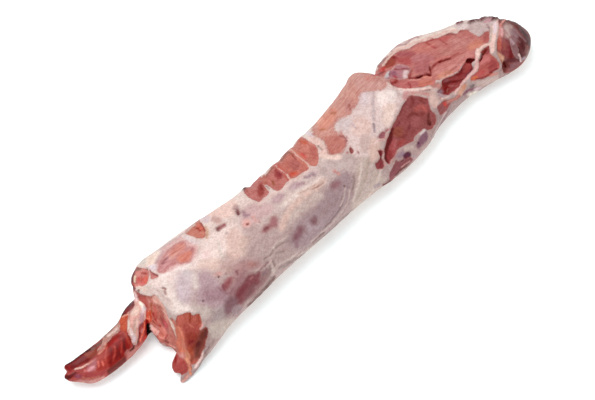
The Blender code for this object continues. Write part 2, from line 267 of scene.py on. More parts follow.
# The marks, each with its finish and its outline or line, in pixels from the photograph's top left corner.
TAIL_MARKS = (
    lean("tail muscle", (172, 78, 74), 33, (58, 382), (60, 364), (70, 355), (85, 345), (100, 334), (117, 316),
        (119, 305), (132, 294), (140, 299), (147, 306), (150, 318), (156, 336), (143, 352), (126, 367),
        (108, 384), (85, 390), (66, 388)),
    tint("dark far strip", (126, 38, 32), 1, (64, 366), (68, 361), (76, 355), (83, 350), (90, 346), (97, 344),
        (97, 352), (92, 357), (87, 361), (81, 364), (75, 367.5), (70, 370), (66, 370)),
    tint("brown of the far strip", (152, 70, 56), 1.4, (84, 353), (91, 350.5), (98, 347.5), (98, 352),
        (93, 356), (87, 357)),
    # Painted shade: the dark line and the grey-brown line along the tail's far rim, where its surface turns
    # away.
    streak("far rim", (74, 30, 28), 2, (67, 363.5), (76, 357), (84, 351.5), (91, 348.5)),
    streak("grey of the far rim", (124, 86, 80), 3, (92, 348), (98, 344), (104, 338.5)),
    streak("red of the tip", (152, 38, 42), 4, (69, 367.5), (70, 371)),
    tint("bright middle", (170, 64, 57), 1.6, (97, 351), (101, 345), (106, 342), (109, 350), (109, 360),
        (107, 369), (101, 371), (96, 368), (97, 359)),
    tint("deep red root", (146, 42, 36), 1.8, (107, 341), (114, 337), (121, 333), (127, 334), (131, 342),
        (130, 350), (124, 358), (116, 365), (110, 369), (108, 362), (108, 350)),
    streak("orange of the root", (168, 45, 26), 4, (110, 346), (113, 342), (117, 339)),
    # A painted wet sheen on the tail, with its brighter streak and a gleam as painted highlights.
    tint("pink sheen", (186, 110, 114), 1.5, (88, 364), (91, 361), (95, 359), (96, 364), (96, 369),
        (93, 371.5), (88, 372), (86.5, 369)),
    streak("bright of the sheen", (228, 154, 158), 2.8, (88.5, 370.5), (91, 369), (93.5, 367)),
    streak("gleam", (228, 134, 134), 2.2, (84.6, 370.2)),
    tint("lower muscle", (168, 74, 74), 1.6, (73, 373), (82, 372), (92, 373), (101, 372), (106, 369),
        (104, 375), (95, 379), (84, 379), (74, 377)),
    streak("brown of the lower muscle", (186, 108, 96), 2.6, (83, 379), (92, 379), (99, 377.5)),
    # A painted greyish sheen on the lower muscle.
    tint("grey sheen", (150, 78, 92), 1.4, (75, 375), (80, 375), (81, 378.5), (76, 379)),
    tint("dark tip", (102, 18, 12), 1.2, (62, 379), (64, 375), (70, 374), (74, 372), (77, 373), (73, 376),
        (70, 379), (66, 380)),
    tint("pale lower edge", (202, 138, 132), 1.4, (74, 382), (88, 380.8), (97, 379.5), (104, 376.5),
        (105, 381), (90, 387), (74, 387)),
    tint("dark lower edge", (116, 52, 49), 1.5, (107, 372), (112, 367.5), (118, 363), (124, 358), (128, 361),
        (119, 369), (111, 376)),
    streak("deep streak", (120, 14, 10), 1.8, (110.5, 347), (111.3, 355), (110.8, 363)),
    streak("second deep streak", (118, 26, 22), 2, (117, 345), (118, 352), (117, 359)),
    streak("third deep streak", (104, 18, 22), 2.8, (123.5, 340), (125, 348), (126.5, 352)),
    streak("fourth deep streak", (112, 24, 20), 1.8, (119.8, 352), (120.5, 358)),
    streak("bright streak", (184, 78, 68), 1.7, (114.5, 346), (115, 353), (113.5, 361)),
    streak("second bright streak", (176, 70, 62), 1.5, (120.8, 338), (121.8, 346), (121.2, 353)),
    streak("third bright streak", (200, 92, 82), 1.8, (106.5, 347), (105.6, 353), (105.5, 360)),
    # Two painted highlights on the wet middle.
    streak("first gleam of the middle", (222, 112, 102), 1.7, (98, 361.5), (98.8, 366.5)),
    streak("second gleam of the middle", (228, 114, 102), 1.7, (101.8, 361), (103.2, 365.5)),
    streak("pale thread of the middle", (216, 142, 126), 1.8, (105.5, 342.5), (104, 347), (101, 350.5),
        (98, 353)),
    stroke("thin sinew", "fat", (250, 196, 180), 1.7, (75, 369.2), (79, 368.2), (83, 366.5), (87, 364)),
    streak("end of the sinew", (216, 142, 130), 1.8, (88, 363.4), (92, 360.5)),
    fat("far fat strip", (199, 148, 135), (102, 341), (103, 337), (110, 329), (116, 323), (119, 320),
        (119.5, 327), (118.5, 331), (113, 336.2), (109, 340), (105.5, 343), (101, 349), (98, 351), (97, 350),
        (101, 345)),
    # Painted shade along the fat strip's rim and painted light along its rounded middle.
    smear("grey rim of the fat strip", (150, 122, 112), 1.8, (104.5, 337), (111, 329.5), (118, 322)),
    smear("pale of the fat strip", (236, 208, 198), 2.6, (108, 335.5), (113, 332), (117.5, 328)),
    tint("orange muscle", (202, 92, 68), 1.2, (119, 319), (122, 316), (128, 315.5), (128.5, 320), (127, 326),
        (125.5, 331), (122, 330), (118.5, 327)),
    streak("strand by the membrane", (178, 70, 58), 2, (124.5, 331), (127, 337), (129.5, 343)),
    streak("dark by the membrane", (116, 14, 12), 2.2, (128.8, 334), (131.6, 341)),
    tint("dark flap", (142, 55, 56), 0.9, (119, 315.5), (121, 310), (125, 305), (131, 299), (133.4, 301),
        (134.5, 306), (132, 309), (128, 312.5), (124, 314.5)),
    streak("rim of the dark flap", (68, 16, 20), 3.4, (120.8, 314), (123, 310), (127.5, 305), (131.8, 301.5)),
    streak("pale side of the flap", (208, 144, 136), 2, (127, 313), (131, 310.5), (134.3, 307)),
    streak("pale line under the flap", (240, 168, 148), 1.5, (121.3, 316.4), (125, 314.8), (128.5, 314.4)),
    fat("membrane", (217, 163, 152), (134.2, 291), (137.4, 293), (138.5, 297), (141, 301), (144.5, 305),
        (146, 309), (145.4, 314), (144.8, 320), (143.4, 323), (140, 327), (139, 332), (138.3, 337),
        (136.5, 342), (135.3, 345.5), (133, 343), (131, 339), (128.5, 334), (127, 330), (126.8, 325),
        (127.5, 320), (128.5, 315), (131, 311), (134.5, 305), (134, 299)),
    smear("neck of the membrane", (242, 206, 204), 3, (136, 294), (136.8, 300)),
    smear("white top of the membrane", (248, 224, 210), 3.6, (140.5, 303), (142, 306)),
    cover("peach of the membrane", (240, 208, 194), 1.4, (134, 308), (138, 306), (140, 311), (136, 315.5),
        (131, 315)),
    smear("lilac grey of the membrane", (202, 182, 184), 3.2, (144, 308), (142.5, 313)),
    cover("mauve of the membrane", (192, 150, 154), 1.1, (139.5, 315), (144.5, 313.5), (144, 320),
        (141.5, 323), (139.5, 321)),
    cover("purple of the membrane", (148, 90, 98), 1, (139.5, 325), (143.5, 322), (144, 327), (141.5, 331),
        (139, 332), (138.4, 328)),
    smear("pink of the membrane", (246, 190, 180), 3.2, (132.3, 317.5), (132, 323)),
    smear("cream side of the membrane", (240, 222, 208), 2.2, (128.6, 321), (128.2, 328)),
    stroke("tan fold of the membrane", "groove", (202, 178, 164), 2.2, (135, 321), (134.5, 334)),
    stroke("pale fold of the membrane", "fold", (232, 196, 186), 1.8, (137.6, 319), (137, 327)),
    smear("white foot of the membrane", (242, 228, 224), 2.2, (130.8, 329), (132.3, 335)),
    smear("lilac tip of the membrane", (212, 200, 206), 3.2, (133.8, 337), (134.3, 341)),
    stroke("pale edge of the membrane", "fat", (220, 172, 162), 1.6, (145.6, 312), (145, 319)),
    streak("orange strand", (236, 114, 92), 1.9, (145, 320), (145.2, 327), (144, 333), (141.8, 338),
        (141, 341.5)),
    tint("deep red by the gap", (126, 8, 8), 0.9, (146.6, 319), (149.4, 319.5), (149.4, 326), (148.6, 332),
        (147.6, 338), (146.4, 334), (146.3, 327)),
    tint("red of the foot", (184, 58, 50), 1.4, (144, 338), (147.5, 335.5), (147.5, 341), (144, 343.5)),
    streak("dark by the tip", (116, 14, 20), 2.4, (139.6, 333.5), (139, 338.5)),
    streak("brown by the tip", (92, 40, 30), 2, (138.2, 341), (137.8, 344)),
    streak("pink bits", (208, 130, 126), 1.8, (143.6, 329), (142.4, 333)),
    stroke("white thread", "fat", (228, 188, 176), 1.1, (137.6, 338.5), (136.2, 344.5)),
    tint("mottled foot", (188, 116, 110), 1.5, (127, 355), (133, 348), (138, 346), (146, 343), (146, 349),
        (137, 357), (129, 363)),
    streak("dark fleck of the foot", (86, 44, 40), 1.7, (133.3, 343.5), (134.5, 347), (130.8, 351.6)),
    streak("grey of the foot", (168, 104, 100), 1.8, (128.3, 350), (125.5, 355)),
)

LOBE_MARKS = (
    lean("muscle end", (212, 134, 126), 60, (126, 276), (128, 270), (134, 267), (142, 267.4), (147.4, 269.6),
        (149.4, 273.6), (148.6, 279), (146.2, 284), (142, 286.6), (137, 287.4), (134, 291.5), (129, 290)),
    tint("far rim of the end", (122, 50, 50), 1.2, (126, 283), (127, 272), (132, 264), (136, 268),
        (134.4, 273), (134, 279), (134.6, 285), (135, 291), (129, 289)),
    streak("coral of the far rim", (214, 112, 100), 2, (133.2, 284), (134.6, 287)),
    streak("grey top rim", (160, 116, 108), 3, (135.5, 268.5), (140, 268)),
    streak("dark of the top", (170, 80, 74), 2.6, (141, 272.6), (145.5, 273.4)),
    streak("bright of the disc", (226, 100, 96), 4.6, (142.8, 280), (142.8, 283)),
    streak("coral of the disc", (222, 112, 96), 4, (146, 277), (146, 284)),
    streak("ring in the disc", (188, 92, 76), 1.3, (140, 275.5), (141.6, 279), (140, 283)),
    streak("rose in the disc", (210, 92, 88), 2.6, (138.4, 278), (138.6, 282.5)),
    stroke("yellow fat", "fat", (250, 226, 190), 2, (134.9, 276.4), (135, 281.6)),
    fat("pale crescent", (252, 230, 216), (135.6, 287.2), (139, 285.8), (142, 286.4), (146.4, 287.6),
        (147, 290), (142, 291), (138, 289.4)),
    # The hole's colour is darkened with painted shade.
    stroke("hole at its foot", "cut", (98, 44, 44), 2.4, (138.7, 291)),
    lean("small red bit", (206, 128, 122), -30, (149.6, 269.6), (152, 271.5), (155, 273.4), (158, 274.6),
        (157.4, 277), (152, 279), (150.4, 276)),
    streak("dark line of the bit", (146, 84, 82), 1.6, (150.5, 270), (153, 273.6), (157.4, 275.2)),
    stroke("dark dot", "cut", (112, 74, 70), 2.4, (147.2, 268.5)),
)

CUT_FACE_MARKS = (
    lean("cut band", (188, 113, 103), -55, (135, 291), (138, 292.5), (142, 294.5), (150, 296.4), (154.4, 295),
        (158.4, 299), (162, 303), (165, 308.5), (167.6, 316), (169.6, 322), (172, 328), (174.6, 335),
        (177, 344), (181, 352), (175, 355), (170, 352), (164, 344), (152, 340), (151, 325), (147, 308),
        (143, 303), (139, 299)),
    # Painted shade: the band is darker and browner at its top left, where it lies in shade.
    tint("brown top of the band", (172, 84, 78), 1.4, (137, 293), (145, 296), (148, 303), (148, 309),
        (143, 302), (139, 298)),
    streak("brown seam of the band", (158, 84, 66), 2.4, (151, 303), (152, 312)),
    tint("pale rim of the band", (244, 187, 173), 1.3, (152, 297), (156, 296), (162, 301), (166, 307),
        (168.5, 314), (168, 320), (163, 315), (160, 306), (154, 302)),
    streak("rose seam", (188, 94, 86), 2.2, (154.5, 306), (156.5, 313), (157, 318)),
    streak("red seam", (164, 54, 52), 2, (153.6, 313), (156.5, 321), (161, 327)),
    tint("orange of the band", (192, 78, 58), 1.2, (147.5, 311), (151, 311), (152.5, 318), (151, 322),
        (148, 318.5)),
    streak("bright orange of the band", (226, 112, 92), 1.8, (147.4, 318), (150, 319.4)),
    streak("second strand of the band", (150, 60, 50), 1.3, (153, 321), (158, 325.5), (163, 328)),
    tint("brown middle of the band", (158, 82, 78), 1.6, (160, 318), (164, 319), (168, 326), (169, 333),
        (165, 331), (161, 324)),
    streak("rose of the middle", (190, 86, 94), 2.6, (164, 321), (166.5, 326)),
    streak("dark edge of the foot", (140, 76, 68), 2.2, (163, 340.4), (168, 343.4)),
    streak("pale strands at the foot", (228, 154, 140), 1.5, (169, 345), (174, 348.4)),
    streak("second pale strand at the foot", (226, 158, 144), 1.5, (168, 348.4), (174, 352)),
    # A painted shadow: the near-black gap is the shade in the hollow between the tail's root and the cut
    # face.
    cut("dark gap", (14, 5, 5), (148.2, 324), (150.8, 323.6), (151.2, 328), (152.6, 333), (151.5, 336),
        (149, 338), (148.2, 333)),
    fat("fat wedge", (236, 168, 158), (151.2, 324.6), (154, 327), (157, 329.4), (159, 331.6), (158, 334),
        (155.6, 335.4), (152.6, 333), (151.4, 329)),
    tint("coral curl", (206, 114, 102), 0.9, (158, 330.6), (160.6, 326.6), (164, 327), (166.6, 331),
        (166.4, 336), (163, 340.4), (158, 340.4), (155.6, 336.4)),
    streak("rim of the curl", (242, 156, 144), 1.6, (158.6, 337), (162, 338.6), (165, 336.4)),
    streak("red by the curl", (166, 74, 72), 2, (167, 335), (165, 338.6)),
    smear("white strip", (252, 226, 208), 2.6, (170.6, 320), (172.8, 327), (175, 335)),
    stroke("sliver of muscle", "lean", (214, 128, 112), 2.2, (173, 320.5), (175, 326.5)),
    smear("tip of the sliver", (168, 116, 106), 1.5, (171.4, 318.4), (172.4, 320.6)),
    lean("brown patch", (181, 93, 80), 84, (176, 318), (178, 315.4), (182, 314), (187, 312.8), (190.4, 312.4),
        (192, 314.6), (194, 315.4), (197, 313.8), (200, 314.8), (201.6, 319), (201.8, 323), (200.6, 326.4),
        (200.6, 330.4), (203, 328.2), (205.8, 326.4), (207.8, 329), (208, 335), (206.4, 341), (205, 347),
        (202.6, 352), (200, 357), (198, 361), (195, 364.4), (191.6, 365.4), (192, 370), (188, 370),
        (184, 360), (178, 353), (176, 345), (176, 335), (175, 325)),
    tint("rose top of the patch", (196, 104, 92), 1.4, (177, 317), (183, 315.4), (183, 322), (178, 324)),
    streak("seam in the patch", (150, 62, 46), 1.8, (190.4, 313), (190.2, 323)),
    streak("second seam in the patch", (152, 66, 50), 1.8, (199, 316), (200, 323)),
    tint("brown upper middle", (172, 82, 74), 1.6, (184, 323), (192, 323), (199, 326), (199, 334), (190, 334),
        (184, 331)),
    streak("pale of the upper middle", (196, 108, 92), 1.8, (187.6, 323), (193.6, 327.6)),
    tint("orange side", (220, 128, 106), 1.6, (175, 327), (180, 327), (183, 335), (184, 346), (186, 352),
        (181, 353), (177, 348), (175.6, 338)),
    tint("burnt middle", (152, 64, 54), 2.4, (186, 334), (194, 332), (199, 336), (197, 348), (190, 351),
        (186.6, 344)),
    streak("dark of the middle", (134, 44, 48), 3.4, (190, 343), (193, 342)),
    # Painted shade: the patch's right side darkens where the surface turns down to the near flank.
    tint("dark brown side", (112, 54, 46), 4, (200, 332), (205, 327), (208, 330), (207.6, 337), (205.6, 345),
        (202.4, 352), (199.6, 358), (194.6, 357), (194.6, 348), (197.4, 340)),
    streak("darkest of the side", (92, 28, 18), 3.2, (199.4, 343), (198, 346)),
    streak("maroon of the side", (98, 50, 50), 2.4, (206.4, 330), (206, 336)),
    streak("orange of the foot", (174, 80, 58), 4.4, (190, 350), (192, 354)),
    tint("peach of the foot", (208, 134, 108), 1.4, (183, 353), (188, 352), (190, 358), (188, 363),
        (184, 358)),
    streak("brown of the foot", (150, 70, 50), 2.6, (192.6, 358), (192.2, 362)),
    stroke("notch of fat", "fat", (226, 166, 156), 1.6, (202.4, 324), (200.4, 328.8)),
    fat("fat at the foot", (242, 206, 198), (194.6, 366), (197.6, 361.6), (200.4, 357), (202.6, 352.6),
        (204.6, 352), (203, 357), (200.6, 362), (198, 367), (195.6, 369.4)),
    smear("grey near edge", (163, 139, 135), 3.2, (213, 340), (209.4, 347), (205.6, 353.4), (202.4, 360),
        (199.6, 366.4), (194, 372)),
    smear("dark of the near edge", (140, 110, 108), 2.2, (208.4, 347.4), (205.4, 353)),
    smear("pale of the near edge", (174, 148, 144), 2.4, (209.6, 334), (208, 342), (204.6, 350)),
    lean("magenta nub", (174, 78, 74), 80, (172, 353), (176, 353.6), (179.6, 356), (183, 358.6), (185.6, 362),
        (187.8, 367), (187.6, 372), (184, 374), (179, 376), (174.6, 376), (171, 371), (172, 360)),
    streak("left edge of the nub", (146, 44, 44), 2.2, (175, 357), (174.6, 361)),
    tint("pink over the nub", (204, 132, 124), 1.2, (177, 352), (183, 352.4), (185.6, 357), (182.6, 358),
        (178.6, 355)),
    stroke("orange strand to the foot", "lean", (236, 159, 131), 2.8, (186.6, 359), (188.6, 364.6),
        (189.8, 369), (190.4, 374)),
    stroke("thin flap", "lean", (214, 160, 150), 3.6, (180, 383.6), (184, 380), (187.4, 375.6)),
)

FAR_EDGE_MARKS = (
    cover("far strip of fat", (246, 226, 216), 3, (134, 270), (148, 252), (170, 239), (185, 228), (200, 216),
        (215, 206), (232, 198), (226, 215), (206, 225), (190, 238), (180, 246), (160, 262), (150, 272)),
    cover("beige of the far strip", (227, 216, 206), 2, (138, 264), (144, 256), (150, 254), (147, 262),
        (142, 266)),
    cover("warm of the far strip", (252, 228, 212), 2, (147, 260), (155, 253), (160, 253), (156, 262),
        (149, 265)),
    cover("lilac white of the strip", (240, 226, 230), 1.8, (149, 266), (157, 265), (158, 270), (151, 270)),
    cover("peach fat", (246, 214, 203), 3, (206, 213), (220, 203), (233, 199), (237, 206), (230, 217),
        (212, 217)),
    cover("rosy shade in the peach", (211, 176, 169), 2, (211, 217), (216, 216), (222, 220), (219, 224),
        (212, 222)),
    cover("lilac by the orange patch", (226, 204, 204), 1.8, (201, 219), (207, 214), (210, 218), (207, 224),
        (203, 223)),
    smear("pale upper rim", (228, 186, 182), 3.4, (162, 250), (171, 243), (181, 237)),
    smear("grey upper rim", (212, 188, 186), 1.6, (160, 250), (169, 243), (176, 239), (183, 234)),
    cover("lilac before the pink patch", (198, 164, 168), 2, (156, 265), (158, 257), (164, 251), (165, 256),
        (161, 263)),
    cover("rosy haze round the patch", (230, 186, 182), 2.2, (157, 270), (159, 259), (170, 246), (184, 239),
        (198, 247), (192, 261), (180, 266), (166, 273)),
    lean("far pink patch", (216, 156, 152), 38, (158, 270), (159, 264), (161, 260), (164, 256), (167, 251),
        (171, 247), (176, 243.5), (181, 240.5), (184, 242), (187, 246), (193, 247), (194, 251), (192, 256),
        (190, 261), (185, 262.6), (181, 263.6), (177, 263), (172, 266), (167, 270), (162, 273), blur=2),
    tint("rose end of the patch", (209, 146, 146), 2.2, (158, 269), (160, 262), (167, 256), (171, 262),
        (166, 269)),
    tint("warm upper of the patch", (216, 142, 130), 2.2, (169, 255), (173, 247), (181, 242), (184, 248),
        (176, 255)),
    tint("coral end of the patch", (216, 132, 116), 2.2, (177, 256), (186, 251), (192, 251), (189, 260),
        (180, 262)),
    streak("seam in the pink patch", (160, 102, 106), 2.2, (162, 263), (164.4, 260), (168, 257)),
    streak("pale streak of the patch", (228, 164, 152), 2, (170, 258), (175, 254), (180, 250)),
    streak("dark end of the patch", (170, 102, 104), 2.4, (191, 250), (193, 248)),
    cover("pale between the patches", (236, 218, 216), 1.6, (184, 236), (189, 236), (196, 240), (202, 241),
        (196, 244), (187, 241)),
    lean("orange patch", (204, 126, 110), 20, (184.6, 233), (188, 228.6), (192, 224.6), (196, 222),
        (199, 219.6), (201.4, 223), (203.4, 226), (205.4, 229.6), (204.6, 232), (205.6, 235), (203, 238),
        (200, 238.6), (197, 238.2), (194, 236.4), (190, 235.4)),
    streak("bright of the orange patch", (222, 106, 88), 2.6, (198, 225), (201, 228)),
    streak("red seam of the orange patch", (166, 62, 50), 1.6, (193.6, 226), (197, 227.6), (199.6, 229.6)),
    streak("dark rim of the orange patch", (166, 84, 72), 1.8, (200.4, 222.6), (203, 227), (204.8, 230.6)),
    cover("golden spot", (216, 174, 150), 1.6, (205, 226), (208, 230), (208, 238), (205, 238)),
    stroke("fat rim of the orange patch", "fat", (212, 178, 170), 1.8, (184, 234.4), (190, 228),
        (197, 221.6)),
    stroke("dark spot", "cut", (136, 86, 84), 4.6, (217.6, 228.8), (219, 228)),
    smear("tail of the dark spot", (158, 92, 94), 4, (220.2, 226.8), (224.6, 225.4)),
    smear("small grey dots", (192, 168, 164), 2.4, (226.6, 233)),
    smear("halo of the second spot", (184, 152, 150), 6, (236, 208), (239, 213)),
    stroke("second dark spot", "cut", (126, 76, 78), 3, (237.6, 210.4), (238, 213)),
    smear("lilac by the second spot", (178, 146, 152), 3, (243, 212), (246, 216)),
    smear("halo of the red dot", (242, 182, 170), 7, (246.6, 223.4)),
    stroke("red dot", "cut", (112, 40, 36), 2.8, (247.8, 223.8)),
    tag("dark tag at the rim", (88, 44, 54), 3, (244.6, 190.6), (246.4, 189.6)),
)

